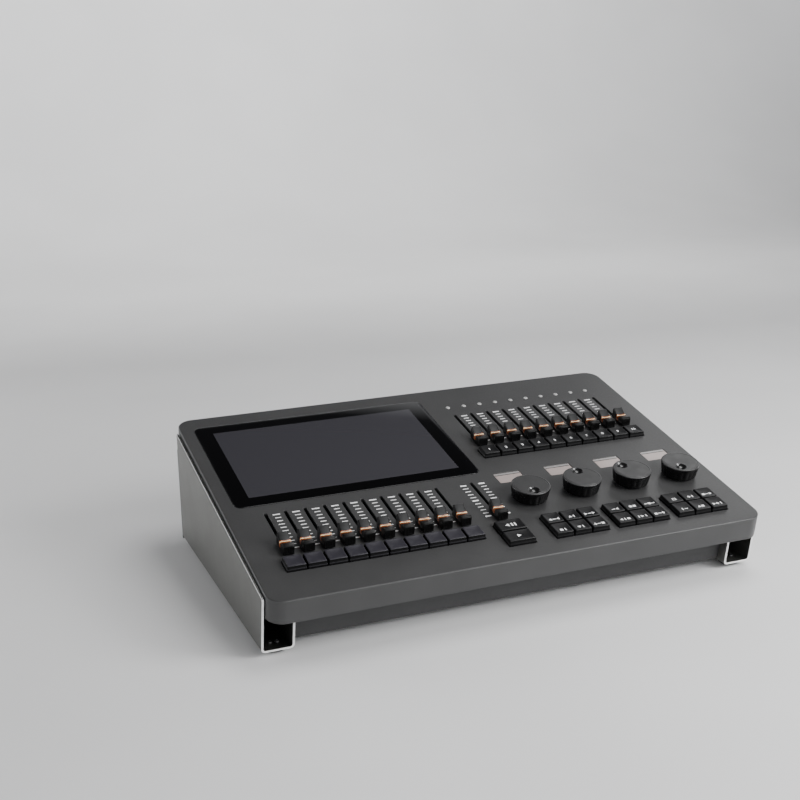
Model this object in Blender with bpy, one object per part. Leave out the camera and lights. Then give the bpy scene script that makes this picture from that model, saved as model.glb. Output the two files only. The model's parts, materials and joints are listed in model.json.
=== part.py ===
"""Lighting control desk: sloped fader console with a touchscreen and four encoder wheels.

Metres, +Z up, +X to the operator's right, +Y away from the operator.
The origin is the bottom centre of the desk's bounding box, on the surface it stands on.
Everything on the sloped deck is placed as (x, s, w): x from the centre line, s up the slope
from the panel's front edge, and w along the panel's normal, with w = 0 on the panel's top.
"""
from math import cos, pi, radians, sin

import bmesh
import bpy
from mathutils import Matrix

MM = 0.001
GAP = 0.3 * MM

# Deck panel
TILT = radians(11.5)
PANEL_WIDTH = 497.6 * MM
PANEL_LENGTH = 346 * MM
PANEL_THICK = 2 * MM
PANEL_CORNER = 16 * MM
PANEL_EDGE = 1.2 * MM
SKIRT_DEPTH = 23 * MM
UNDER = -PANEL_THICK - GAP

# Side rails and the tray between them
RAIL_WIDTH = 30 * MM
RAIL_SHEET = 2 * MM
RAIL_SET_BACK = 13.4 * MM
RAIL_CLEARANCE = 0.6 * MM
RAIL_FRONT_TOP_W = -3.5 * MM
RAIL_REAR_TOP_W = -6.5 * MM
RAIL_NOSE = 3 * MM
RAIL_INNER_TOP_W = -22 * MM
RAIL_DEPTH_W = -59.3 * MM
RAIL_BEND = 4 * MM
RAIL_OUT = PANEL_WIDTH / 2 + RAIL_CLEARANCE + RAIL_SHEET
RAIL_IN = RAIL_OUT - RAIL_WIDTH
FOOT_HEIGHT = 4 * MM
TRAY_BOTTOM = 8 * MM
TRAY_SHEET = 1.5 * MM
TRAY_HALF = RAIL_IN - GAP
TRAY_FLANGE = 16 * MM
FRONT_WALL_S = 25 * MM
REAR_SHEET = 1.5 * MM

# Controls: one pitch sets the faders and their keys
PITCH = 19.05 * MM
FADER_COUNT = 10
SLOT_LENGTH = 69 * MM
SLOT_WIDTH = 3.4 * MM
FADER_TRAVEL = 60 * MM
LOWER_X = -211.5 * MM
UPPER_X = 42.1 * MM
MASTER_X = -2.1 * MM
LOWER_SLOT_S = 73 * MM
UPPER_SLOT_S = 214.4 * MM
CAP_WIDTH = 10.5 * MM
CAP_FRONT = 11 * MM
KEY_SIZE = 18 * MM
KEY_RISE = 5 * MM
KEY_SINK = 4 * MM
KEY_MARGIN = 0.9 * MM
LOWER_KEYS_S = 51.1 * MM
UPPER_KEYS_S = 192.9 * MM
WIDE_KEY_X = -2.1 * MM
WIDE_KEY_WIDTH = 27.5 * MM
PAD_ROWS_S = (51.3 * MM, 32.2 * MM)
WHEEL_PITCH = 56.7 * MM
WHEEL_X = 41.1 * MM
WHEEL_S = 97.5 * MM
WHEEL_RADIUS = 19.3 * MM
WHEEL_FOOT_RADIUS = 17.6 * MM
WHEEL_TOP_W = 15.5 * MM
WHEEL_FOOT_W = 2 * MM
DIMPLE_AT = 11.3 * MM
DIMPLE_RADIUS = 7.4 * MM
DIMPLE_DEPTH = 3.1 * MM
DIMPLE_ANGLES = (260, 89, 126, 240)
PAD_X = tuple(61.1 * MM + 66.2 * MM * k for k in range(3))
WINDOW_S = 141.5 * MM
WINDOW_SIZE = (29 * MM, 19 * MM)
LAMP_S = 301 * MM
LAMP_RADIUS = 2.4 * MM

# Screen
SCREEN_X = -109.75 * MM
SCREEN_S = 240.5 * MM
GLASS_SIZE = (251.5 * MM, 168 * MM)
GLASS_CORNER = 8 * MM
MODULE_SIZE = (226 * MM, 149 * MM)

# Levels under the panel, along its normal
BOARD_W = -16.8 * MM
BOARD_THICK = 1.6 * MM
SWITCH_TOP_W = -9 * MM
STEM_END_W = -11.5 * MM
WINDOW_BACK_W = -3.8 * MM

# Where the deck's front edge sits in the world
DEPTH = PANEL_LENGTH * cos(TILT) + SKIRT_DEPTH * sin(TILT)
DECK_Y = -DEPTH / 2
DECK_Z = FOOT_HEIGHT - RAIL_DEPTH_W * cos(TILT) - RAIL_SET_BACK * sin(TILT)
REAR_Y = DECK_Y + (PANEL_LENGTH - RAIL_SET_BACK) * cos(TILT) - 1 * MM

COLOURS = {
    "panel": ((0.055, 0.056, 0.06), 0.5, 0.0),
    "rail": ((0.42, 0.42, 0.4), 0.38, 1.0),
    "chassis": ((0.02, 0.02, 0.022), 0.6, 0.0),
    "glass": ((0.004, 0.004, 0.005), 0.06, 0.0),
    "key": ((0.018, 0.017, 0.021), 0.45, 0.0),
    "key_soft": ((0.042, 0.038, 0.05), 0.6, 0.0),
    "cap": ((0.02, 0.02, 0.02), 0.5, 0.0),
    "wheel": ((0.012, 0.012, 0.012), 0.4, 0.0),
    "window": ((0.55, 0.47, 0.46), 0.2, 0.0),
    "lamp": ((0.6, 0.62, 0.62), 0.3, 0.0),
    "board": ((0.01, 0.09, 0.04), 0.5, 0.0),
    "steel": ((0.55, 0.55, 0.53), 0.3, 1.0),
    "socket": ((0.015, 0.015, 0.015), 0.4, 0.0),
    "rubber": ((0.01, 0.01, 0.01), 0.9, 0.0),
}

for old in list(bpy.data.objects):
    bpy.data.objects.remove(old)


def material(name):
    """The one Principled material of each finish."""
    found = bpy.data.materials.get(name)
    if found:
        return found
    colour, roughness, metallic = COLOURS[name]
    made = bpy.data.materials.new(name)
    made.use_nodes = True
    shader = made.node_tree.nodes["Principled BSDF"]
    shader.inputs["Base Color"].default_value = (*colour, 1)
    shader.inputs["Roughness"].default_value = roughness
    shader.inputs["Metallic"].default_value = metallic
    return made


def guide(name, at, tilt):
    """An empty that carries parts as their parent."""
    empty = bpy.data.objects.new(name, None)
    empty.location = at
    empty.rotation_euler = (tilt, 0, 0)
    bpy.context.collection.objects.link(empty)
    return empty


deck = guide("deck_frame", (0, DECK_Y, DECK_Z), TILT)


def node(name, bm, finish, parent=None, at=(0, 0, 0)):
    """Turn a closed bmesh into one named object."""
    bmesh.ops.recalc_face_normals(bm, faces=bm.faces)
    mesh = bpy.data.meshes.new(name)
    bm.to_mesh(mesh)
    bm.free()
    mesh.shade_smooth()
    mesh.set_sharp_from_angle(angle=radians(32))
    mesh.materials.append(material(finish))
    made = bpy.data.objects.new(name, mesh)
    made.parent = parent
    made.location = at
    bpy.context.collection.objects.link(made)
    return made


# Shapes, each added to a bmesh as one closed solid


def loft(bm, rings):
    """Skin a stack of equal rings of points and cap both ends."""
    levels = [[bm.verts.new(point) for point in ring] for ring in rings]
    count = len(rings[0])
    for low, high in zip(levels, levels[1:]):
        for i in range(count):
            j = (i + 1) % count
            bm.faces.new((low[i], low[j], high[j], high[i]))
    bm.faces.new(levels[0][::-1])
    bm.faces.new(levels[-1])


def prism(bm, outline, low, high):
    """Extrude a flat outline of (x, y) points from z = low to z = high."""
    loft(bm, [[(x, y, z) for x, y in outline] for z in (low, high)])


def prism_across(bm, outline, left, right):
    """Extrude an outline of (y, z) points along X."""
    loft(bm, [[(x, y, z) for y, z in outline] for x in (left, right)])


def corners(size, centre):
    """The four corners of a rectangle, counter-clockwise."""
    half_x, half_y = size[0] / 2, size[1] / 2
    x, y = centre
    return [(x - half_x, y - half_y), (x + half_x, y - half_y),
            (x + half_x, y + half_y), (x - half_x, y + half_y)]


def block(bm, size, centre, low, high):
    """A box of (x, y) size about an (x, y) centre, between two heights."""
    prism(bm, corners(size, centre), low, high)


def rounded(size, centre, radius, steps):
    """A rectangle with round corners, as (x, y) points counter-clockwise."""
    points = []
    for quarter in range(4):
        sign_x = 1 if quarter in (0, 3) else -1
        sign_y = 1 if quarter in (0, 1) else -1
        cx = centre[0] + sign_x * (size[0] / 2 - radius)
        cy = centre[1] + sign_y * (size[1] / 2 - radius)
        for step in range(steps + 1):
            angle = (quarter + step / steps) * pi / 2
            points.append((cx + radius * cos(angle), cy + radius * sin(angle)))
    return points


def circle(radius, centre, sides):
    return [(centre[0] + radius * cos(2 * pi * i / sides),
             centre[1] + radius * sin(2 * pi * i / sides)) for i in range(sides)]


def turned(bm, profile, centre, sides):
    """A solid of revolution about +Z from (radius, height) points, open ends capped flat."""
    loft(bm, [[(x, y, height) for x, y in circle(radius, centre, sides)]
              for radius, height in profile])


def combine(base, tool, operation="DIFFERENCE"):
    """Exact Boolean of two bmeshes; both are used up and the result is returned."""
    objects = []
    for bm in (base, tool):
        bmesh.ops.recalc_face_normals(bm, faces=bm.faces)
        mesh = bpy.data.meshes.new("operand")
        bm.to_mesh(mesh)
        bm.free()
        made = bpy.data.objects.new("operand", mesh)
        bpy.context.collection.objects.link(made)
        objects.append(made)
    boolean = objects[0].modifiers.new("boolean", "BOOLEAN")
    boolean.operation = operation
    boolean.solver = "EXACT"
    boolean.object = objects[1]
    bpy.context.view_layer.update()
    result = bmesh.new()
    result.from_object(objects[0], bpy.context.evaluated_depsgraph_get())
    for made in objects:
        bpy.data.objects.remove(made)
    bmesh.ops.remove_doubles(result, verts=result.verts, dist=0.00001)
    bmesh.ops.dissolve_limit(result, angle_limit=radians(0.1), verts=result.verts, edges=result.edges)
    return result


def turn(bm, matrix):
    bmesh.ops.transform(bm, matrix=matrix, verts=bm.verts)


def add(bm, part):
    """Move a bmesh into another; the part is used up."""
    mesh = bpy.data.meshes.new("part")
    part.to_mesh(mesh)
    part.free()
    bm.from_mesh(mesh)
    bpy.data.meshes.remove(mesh)


# Places that repeat

lower_xs = [LOWER_X + PITCH * i for i in range(FADER_COUNT)]
upper_xs = [UPPER_X + PITCH * i for i in range(FADER_COUNT)]
wheel_xs = [WHEEL_X + WHEEL_PITCH * i for i in range(4)]
fader_slots = [(x, LOWER_SLOT_S) for x in lower_xs]
fader_slots += [(x, UPPER_SLOT_S) for x in upper_xs]
fader_slots.append((MASTER_X, LOWER_SLOT_S))


def pad_columns(pad):
    return [PAD_X[pad] + PITCH * (i - 1) for i in range(3)]


small_keys = [(x, LOWER_KEYS_S) for x in lower_xs] + [(x, UPPER_KEYS_S) for x in upper_xs]
small_keys += [(x, s) for pad in range(3) for s in PAD_ROWS_S for x in pad_columns(pad)]
wide_keys = [(WIDE_KEY_X, s) for s in PAD_ROWS_S]

# Studs that hang from the panel and carry the control boards
stud_places = [(-225 * MM, 30 * MM), (-225 * MM, 140 * MM), (-30 * MM, 140 * MM), (-105 * MM, 30 * MM),
               (22.5 * MM, 30 * MM), (22.5 * MM, 160 * MM), (226.5 * MM, 75 * MM), (226.5 * MM, 160 * MM),
               (26 * MM, 300 * MM), (228 * MM, 300 * MM)]


def world_height(s, w):
    """Height above the floor of a deck place."""
    return DECK_Z + s * sin(TILT) + w * cos(TILT)


def world_y(s, w):
    return DECK_Y + s * cos(TILT) - w * sin(TILT)


def deck_s(y, w):
    """Where a deck level w meets a world y."""
    return (y - DECK_Y + w * sin(TILT)) / cos(TILT)


# Casework


def top_panel():
    """Hood with a skirt all round and an opening for every control."""
    size = (PANEL_WIDTH, PANEL_LENGTH)
    centre = (0, PANEL_LENGTH / 2)
    edge = PANEL_EDGE
    inner = (size[0] - 2 * PANEL_THICK, size[1] - 2 * PANEL_THICK)
    hood = bmesh.new()
    loft(hood, [
        [(x, y, -SKIRT_DEPTH) for x, y in rounded(size, centre, PANEL_CORNER, 6)],
        [(x, y, -edge) for x, y in rounded(size, centre, PANEL_CORNER, 6)],
        [(x, y, 0) for x, y in rounded(
            (size[0] - 1.4 * edge, size[1] - 1.4 * edge), centre, PANEL_CORNER - 0.7 * edge, 6)]])
    hollow = bmesh.new()
    prism(hollow, rounded(inner, centre, PANEL_CORNER - PANEL_THICK, 6),
          -SKIRT_DEPTH - PANEL_THICK, -PANEL_THICK)
    hood = combine(hood, hollow)
    studs = bmesh.new()
    for place in stud_places:
        turned(studs, [(3 * MM, BOARD_W + GAP), (3 * MM, -PANEL_THICK / 2)], place, 6)
    hood = combine(hood, studs, "UNION")
    openings = bmesh.new()
    low, high = -2 * PANEL_THICK, PANEL_THICK
    for x, s in fader_slots:
        prism(openings, rounded((SLOT_WIDTH, SLOT_LENGTH), (x, s + SLOT_LENGTH / 2), SLOT_WIDTH / 3, 1),
              low, high)
    row = FADER_COUNT * PITCH + 0.2 * MM
    tall = KEY_SIZE + 2 * KEY_MARGIN
    block(openings, (row, tall), (sum(lower_xs) / FADER_COUNT, LOWER_KEYS_S), low, high)
    block(openings, (row, tall), (sum(upper_xs) / FADER_COUNT, UPPER_KEYS_S), low, high)
    pad_s = sum(PAD_ROWS_S) / 2
    pad_tall = PITCH + tall
    for pad_x in PAD_X:
        block(openings, (3 * PITCH + 0.6 * MM, pad_tall), (pad_x, pad_s), low, high)
    block(openings, (WIDE_KEY_WIDTH + 1.6 * MM, pad_tall), (WIDE_KEY_X, pad_s), low, high)
    for x in wheel_xs:
        prism(openings, circle(4.7 * MM, (x, WHEEL_S), 12), low, high)
        block(openings, WINDOW_SIZE, (x, WINDOW_S), low, high)
    for x in upper_xs:
        prism(openings, circle(LAMP_RADIUS + GAP, (x, LAMP_S), 8), low, high)
    cut_size = (GLASS_SIZE[0] + 2 * GAP, GLASS_SIZE[1] + 2 * GAP)
    prism(openings, rounded(cut_size, (SCREEN_X, SCREEN_S), GLASS_CORNER + GAP, 4), low, high)
    node("top_panel", combine(hood, openings), "panel", deck)


rail_rear_y = REAR_Y - GAP
foot_ys = {"front": world_y(RAIL_SET_BACK, RAIL_DEPTH_W) + 14 * MM, "rear": rail_rear_y - 22 * MM}


def rail_section(side, low, inner_top, outer_top):
    """Outline of the bent sheet in (x, z): outer wall, floor and inner wall."""
    bend, sheet = RAIL_BEND, RAIL_SHEET
    points = [(RAIL_OUT, outer_top)]
    for step in range(4):
        angle = -step * pi / 6
        points.append((RAIL_OUT - bend + bend * cos(angle), low + bend + bend * sin(angle)))
    for step in range(4):
        angle = -pi / 2 - step * pi / 6
        points.append((RAIL_IN + bend + bend * cos(angle), low + bend + bend * sin(angle)))
    points += [(RAIL_IN, inner_top), (RAIL_IN + sheet, inner_top)]
    inside = bend - sheet
    for step in range(4):
        angle = -pi + step * pi / 6
        points.append((RAIL_IN + bend + inside * cos(angle), low + bend + inside * sin(angle)))
    for step in range(4):
        angle = -pi / 2 + step * pi / 6
        points.append((RAIL_OUT - bend + inside * cos(angle), low + bend + inside * sin(angle)))
    points.append((RAIL_OUT - sheet, outer_top))
    return [(side * x, z) for x, z in points]


def front_slant(z):
    """World y of the rail's front end, which stands square to the panel."""
    w = (z - DECK_Z - RAIL_SET_BACK * sin(TILT)) / cos(TILT)
    return world_y(RAIL_SET_BACK, w)


def side_rail(name, side):
    """Open channel of bent sheet along one side, deeper at the back, with a rounded front corner."""
    nose_z = world_height(RAIL_SET_BACK, RAIL_FRONT_TOP_W)
    front = rail_section(side, FOOT_HEIGHT, world_height(RAIL_SET_BACK, RAIL_INNER_TOP_W), nose_z)
    rear = rail_section(side, FOOT_HEIGHT,
                        world_height(deck_s(rail_rear_y, RAIL_INNER_TOP_W), RAIL_INNER_TOP_W),
                        world_height(deck_s(rail_rear_y, RAIL_REAR_TOP_W), RAIL_REAR_TOP_W))
    bm = bmesh.new()
    loft(bm, [[(x, front_slant(z), z) for x, z in front], [(x, rail_rear_y, z) for x, z in rear]])
    nose_y = front_slant(nose_z)
    nose = [edge for edge in bm.edges
            if all(abs(vert.co.y - nose_y) + abs(vert.co.z - nose_z) < GAP for vert in edge.verts)]
    bmesh.ops.bevel(bm, geom=nose, offset=RAIL_NOSE, segments=4, profile=0.5, affect="EDGES")
    node(name, bm, "rail")


def bottom_tray():
    """Floor, front wall and side flanges between the rails, with vents and board standoffs."""
    top_w = RAIL_INNER_TOP_W + 1.5 * MM
    low_w = (TRAY_BOTTOM - DECK_Z - FRONT_WALL_S * sin(TILT)) / cos(TILT)
    inner_w = (TRAY_BOTTOM + TRAY_SHEET - DECK_Z - (FRONT_WALL_S + TRAY_SHEET) * sin(TILT)) / cos(TILT)
    wall_s = FRONT_WALL_S + TRAY_SHEET
    rear = REAR_Y - GAP
    outline = [(world_y(FRONT_WALL_S, top_w), world_height(FRONT_WALL_S, top_w)),
               (world_y(FRONT_WALL_S, low_w), TRAY_BOTTOM),
               (rear, TRAY_BOTTOM),
               (rear, TRAY_BOTTOM + TRAY_SHEET),
               (world_y(wall_s, inner_w), TRAY_BOTTOM + TRAY_SHEET),
               (world_y(wall_s, top_w), world_height(wall_s, top_w))]
    bm = bmesh.new()
    prism_across(bm, outline, -TRAY_HALF, TRAY_HALF)
    extras = bmesh.new()
    flange_front = world_y(FRONT_WALL_S, low_w) + 2 * MM
    for side in (-1, 1):
        flange = [(flange_front, TRAY_BOTTOM + 0.5 * MM), (rear - 3 * MM, TRAY_BOTTOM + 0.5 * MM),
                  (rear - 3 * MM, TRAY_BOTTOM + TRAY_FLANGE), (flange_front, TRAY_BOTTOM + TRAY_FLANGE)]
        edges = sorted((side * TRAY_HALF, side * (TRAY_HALF - TRAY_SHEET)))
        prism_across(extras, flange, *edges)
    for place in standoff_places:
        prism(extras, circle(3 * MM, place, 8), TRAY_BOTTOM + TRAY_SHEET / 2, MAIN_BOARD_Z - GAP)
    bm = combine(bm, extras, "UNION")
    cuts = bmesh.new()
    for side in (-1, 1):
        for slot in range(9):
            block(cuts, (3 * MM, 40 * MM), (side * 120 * MM + (slot - 4) * 8 * MM, DECK_Y + 110 * MM),
                  TRAY_BOTTOM - MM, TRAY_BOTTOM + TRAY_SHEET + MM)
    node("bottom_tray", combine(bm, cuts), "chassis")


# Rear face: sockets, switch and vents, all cut from one list of places

MAIN_BOARD_Z = TRAY_BOTTOM + TRAY_SHEET + 8 * MM
MAIN_BOARD_TOP = MAIN_BOARD_Z + BOARD_THICK
MAIN_BOARD_SIZE = (190 * MM, 120 * MM)
MAIN_BOARD_X = 95 * MM
main_board_y = REAR_Y - GAP - MAIN_BOARD_SIZE[1] / 2
standoff_places = [(MAIN_BOARD_X + sx * 85 * MM, main_board_y + sy * 50 * MM) for sx in (-1, 1) for sy in (-1, 1)]
DMX_XS = (60 * MM, 110 * MM)
DMX_Z = 78 * MM
NET_XS = (30 * MM, 54 * MM)
USB_XS = (82 * MM, 104 * MM, 126 * MM)
NET_SIZE = (15.8 * MM, 13.4 * MM)
USB_SIZE = (14.4 * MM, 7 * MM)
INLET_X = -180 * MM
INLET_Z = 60 * MM
INLET_SIZE = (28 * MM, 20 * MM)
SWITCH_X = -140 * MM
SWITCH_SIZE = (13.4 * MM, 21 * MM)


def upright(size, at, low, high):
    """A box on the rear face: (x, z) size about an (x, z) place, from one y to another."""
    bm = bmesh.new()
    block(bm, size, (0, 0), low, high)
    turn(bm, rear_matrix(at))
    return bm


def rear_matrix(at):
    """Takes shapes drawn looking at the rear face, outward along +Z, to their world place."""
    return Matrix.Translation((at[0], REAR_Y, at[1])) @ Matrix.Rotation(-pi / 2, 4, "X")


def socket_z(size):
    """Middle height of a socket that stands on the main board."""
    return MAIN_BOARD_TOP - GAP + size[1] / 2


def rear_panel():
    """Flat plate behind the rails, narrower where it enters the skirt."""
    wide = RAIL_OUT
    narrow = PANEL_WIDTH / 2 - PANEL_THICK - GAP
    step_z = world_height(deck_s(REAR_Y + REAR_SHEET, -SKIRT_DEPTH), -SKIRT_DEPTH) - 2 * GAP
    top_z = world_height(deck_s(REAR_Y, UNDER), UNDER)
    outline = [(-wide, FOOT_HEIGHT), (wide, FOOT_HEIGHT), (wide, step_z), (narrow, step_z),
               (narrow, top_z), (-narrow, top_z), (-narrow, step_z), (-wide, step_z)]
    bm = bmesh.new()
    loft(bm, [[(x, y, z) for x, z in outline] for y in (REAR_Y, REAR_Y + REAR_SHEET)])
    cuts = bmesh.new()
    through = (-2 * MM, REAR_SHEET + 2 * MM)
    for x in DMX_XS:
        hole = bmesh.new()
        prism(hole, circle(12.1 * MM, (0, 0), 20), *through)
        turn(hole, rear_matrix((x, DMX_Z)))
        add(cuts, hole)
    for xs, size in ((NET_XS, NET_SIZE), (USB_XS, USB_SIZE)):
        for x in xs:
            add(cuts, upright((size[0] + 2 * GAP, size[1] + 2 * GAP), (x, socket_z(size)), *through))
    add(cuts, upright((INLET_SIZE[0] + 2 * GAP, INLET_SIZE[1] + 2 * GAP), (INLET_X, INLET_Z), *through))
    add(cuts, upright((SWITCH_SIZE[0] - 0.4 * MM, SWITCH_SIZE[1] - 0.4 * MM), (SWITCH_X, INLET_Z), *through))
    for slot in range(10):
        add(cuts, upright((3 * MM, 34 * MM), ((slot - 12.2) * 8 * MM, 62 * MM), *through))
    node("rear_panel", combine(bm, cuts), "chassis")


def dmx_socket(name, x):
    """Panel socket with a flange, a barrel, a groove for the plug's shell and contact holes."""
    face = REAR_SHEET + GAP
    shell = bmesh.new()
    block(shell, (26 * MM, 31 * MM), (0, 0), face, face + 2 * MM)
    barrel = bmesh.new()
    turned(barrel, [(11.8 * MM, -20 * MM), (11.8 * MM, face + 1 * MM)], (0, 0), 20)
    shell = combine(shell, barrel, "UNION")
    groove = bmesh.new()
    turned(groove, [(9.6 * MM, -12 * MM), (9.6 * MM, face + 3 * MM)], (0, 0), 20)
    core = bmesh.new()
    turned(core, [(7.5 * MM, -13 * MM), (7.5 * MM, face + 4 * MM)], (0, 0), 16)
    shell = combine(shell, combine(groove, core))
    contacts = bmesh.new()
    for i in range(5):
        angle = pi / 2 + (i - 2) * pi / 3.2
        prism(contacts, circle(1.1 * MM, (4.4 * MM * cos(angle), 4.4 * MM * sin(angle)), 6),
              -8 * MM, face + 4 * MM)
    shell = combine(shell, contacts)
    turn(shell, rear_matrix((x, DMX_Z)))
    node(name, shell, "socket")


def power_inlet():
    """Appliance inlet with three blades in its recess."""
    face = REAR_SHEET + GAP
    shell = bmesh.new()
    block(shell, INLET_SIZE, (0, 0), -22 * MM, face + 1 * MM)
    flange = bmesh.new()
    block(flange, (INLET_SIZE[0] + 8 * MM, INLET_SIZE[1] + 6 * MM), (0, 0), face, face + 2 * MM)
    shell = combine(shell, flange, "UNION")
    recess = bmesh.new()
    block(recess, (24.4 * MM, 16.4 * MM), (0, 0), -14 * MM, face + 3 * MM)
    shell = combine(shell, recess)
    blades = bmesh.new()
    for x, z in ((-7 * MM, -2 * MM), (7 * MM, -2 * MM), (0, 2 * MM)):
        block(blades, (2 * MM, 4 * MM), (x, z), -16 * MM, face - 1 * MM)
    shell = combine(shell, blades, "UNION")
    turn(shell, rear_matrix((INLET_X, INLET_Z)))
    node("power_inlet", shell, "socket")


def switch_housing():
    """Snap-in housing of the power switch, open in front for the rocker."""
    face = REAR_SHEET + GAP
    bezel = bmesh.new()
    block(bezel, (SWITCH_SIZE[0] + 3 * MM, SWITCH_SIZE[1] + 3 * MM), (0, 0), face, face + 1.6 * MM)
    body = bmesh.new()
    block(body, (SWITCH_SIZE[0] - MM, SWITCH_SIZE[1] - MM), (0, 0), -16 * MM, face + 1 * MM)
    bezel = combine(bezel, body, "UNION")
    well = bmesh.new()
    block(well, (SWITCH_SIZE[0] - 3 * MM, SWITCH_SIZE[1] - 2.6 * MM), (0, 0), -8 * MM, face + 3 * MM)
    bezel = combine(bezel, well)
    turn(bezel, rear_matrix((SWITCH_X, INLET_Z)))
    node("power_switch_housing", bezel, "socket")


def power_switch():
    """Rocker with its origin on its pivot, resting with its lower end pressed."""
    bm = bmesh.new()
    outline = [(-4 * MM, -4 * MM), (-4 * MM, 4 * MM), (3.6 * MM, 8 * MM), (1.8 * MM, 0), (3.6 * MM, -8 * MM)]
    half = (SWITCH_SIZE[0] - 3 * MM) / 2 - GAP
    prism_across(bm, outline, -half, half)
    turn(bm, Matrix.Rotation(radians(-12), 4, "X"))
    node("power_switch", bm, "key", None, (SWITCH_X, REAR_Y + REAR_SHEET + GAP, INLET_Z))


def main_board():
    """Main circuit board with its network and USB sockets, open towards the rear."""
    bm = bmesh.new()
    block(bm, MAIN_BOARD_SIZE, (MAIN_BOARD_X, main_board_y), MAIN_BOARD_Z, MAIN_BOARD_TOP)
    deep = -13 * MM
    shells = bmesh.new()
    mouths = bmesh.new()
    tongues = bmesh.new()
    for x in NET_XS:
        at = (x, socket_z(NET_SIZE))
        add(shells, upright(NET_SIZE, at, deep - 2 * MM, REAR_SHEET + MM))
        add(mouths, upright((11.8 * MM, 8.4 * MM), (at[0], at[1] - 0.8 * MM), deep, REAR_SHEET + 2 * MM))
    for x in USB_XS:
        at = (x, socket_z(USB_SIZE))
        add(shells, upright(USB_SIZE, at, deep - MM, REAR_SHEET + MM))
        add(mouths, upright((12.6 * MM, 5.2 * MM), at, deep + 2 * MM, REAR_SHEET + 2 * MM))
        add(tongues, upright((11 * MM, 1.8 * MM), (at[0], at[1] + 0.8 * MM), deep + MM, REAR_SHEET - MM))
    bm = combine(bm, shells, "UNION")
    bm = combine(bm, mouths)
    bm = combine(bm, tongues, "UNION")
    chips = bmesh.new()
    for place, size, tall in (((60 * MM, -40 * MM), (40 * MM, 40 * MM), 9 * MM),
                              ((110 * MM, -40 * MM), (24 * MM, 24 * MM), 3 * MM),
                              ((155 * MM, -40 * MM), (30 * MM, 12 * MM), 6 * MM)):
        block(chips, size, (place[0], main_board_y + place[1] + 20 * MM), MAIN_BOARD_TOP - MM, MAIN_BOARD_TOP + tall)
    node("main_board", combine(bm, chips, "UNION"), "board")


def power_supply():
    """Sheet cage of the power supply, open to the tray below it."""
    bm = bmesh.new()
    centre = (-130 * MM, REAR_Y - 95 * MM)
    floor = TRAY_BOTTOM + TRAY_SHEET + GAP
    size = (150 * MM, 82 * MM)
    inset = (size[0] - 3 * MM, size[1] - 3 * MM)
    loft(bm, [[(x, y, floor) for x, y in rounded(size, centre, 2 * MM, 1)],
              [(x, y, floor + 30.5 * MM) for x, y in rounded(size, centre, 2 * MM, 1)],
              [(x, y, floor + 32 * MM) for x, y in rounded(inset, centre, 1 * MM, 1)]])
    hollow = bmesh.new()
    block(hollow, inset, centre, floor - MM, floor + 30 * MM)
    node("power_supply", combine(bm, hollow), "steel")


def rubber_foot(name, x, y):
    bm = bmesh.new()
    loft(bm, [[(px, py, z) for px, py in rounded(size, (0, 0), 4 * MM, 3)]
              for z, size in ((0, (16 * MM, 15 * MM)), (0.8 * MM, (17 * MM, 16 * MM)),
                              (FOOT_HEIGHT - GAP, (17 * MM, 16 * MM)))])
    node(name, bm, "rubber", None, (x, y, 0))


# Screen


def touchscreen():
    """Glass in the panel's opening, the display behind it and the pan that holds them."""
    place = (SCREEN_X, SCREEN_S)
    glass = bmesh.new()
    inset = (GLASS_SIZE[0] - MM, GLASS_SIZE[1] - MM)
    loft(glass, [
        [(x, y, -1.7 * MM) for x, y in rounded(GLASS_SIZE, (0, 0), GLASS_CORNER, 4)],
        [(x, y, -0.1 * MM) for x, y in rounded(GLASS_SIZE, (0, 0), GLASS_CORNER, 4)],
        [(x, y, 0.3 * MM) for x, y in rounded(inset, (0, 0), GLASS_CORNER - 0.5 * MM, 4)]])
    node("touchscreen_glass", glass, "glass", deck, (*place, 0))
    module = bmesh.new()
    block(module, MODULE_SIZE, (0, 0), -8 * MM, UNDER + GAP)
    node("display_module", module, "steel", deck, (*place, 0))
    pan = bmesh.new()
    outer = (GLASS_SIZE[0] + 5 * MM, GLASS_SIZE[1] + 5 * MM)
    inner = (outer[0] - 3 * MM, outer[1] - 3 * MM)
    block(pan, outer, (0, 0), -9.8 * MM, UNDER)
    hollow = bmesh.new()
    block(hollow, inner, (0, 0), -8.3 * MM, 0)
    pan = combine(pan, hollow)
    node("screen_bracket", pan, "chassis", deck, (*place, 0))


# Controls on the deck


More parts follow.
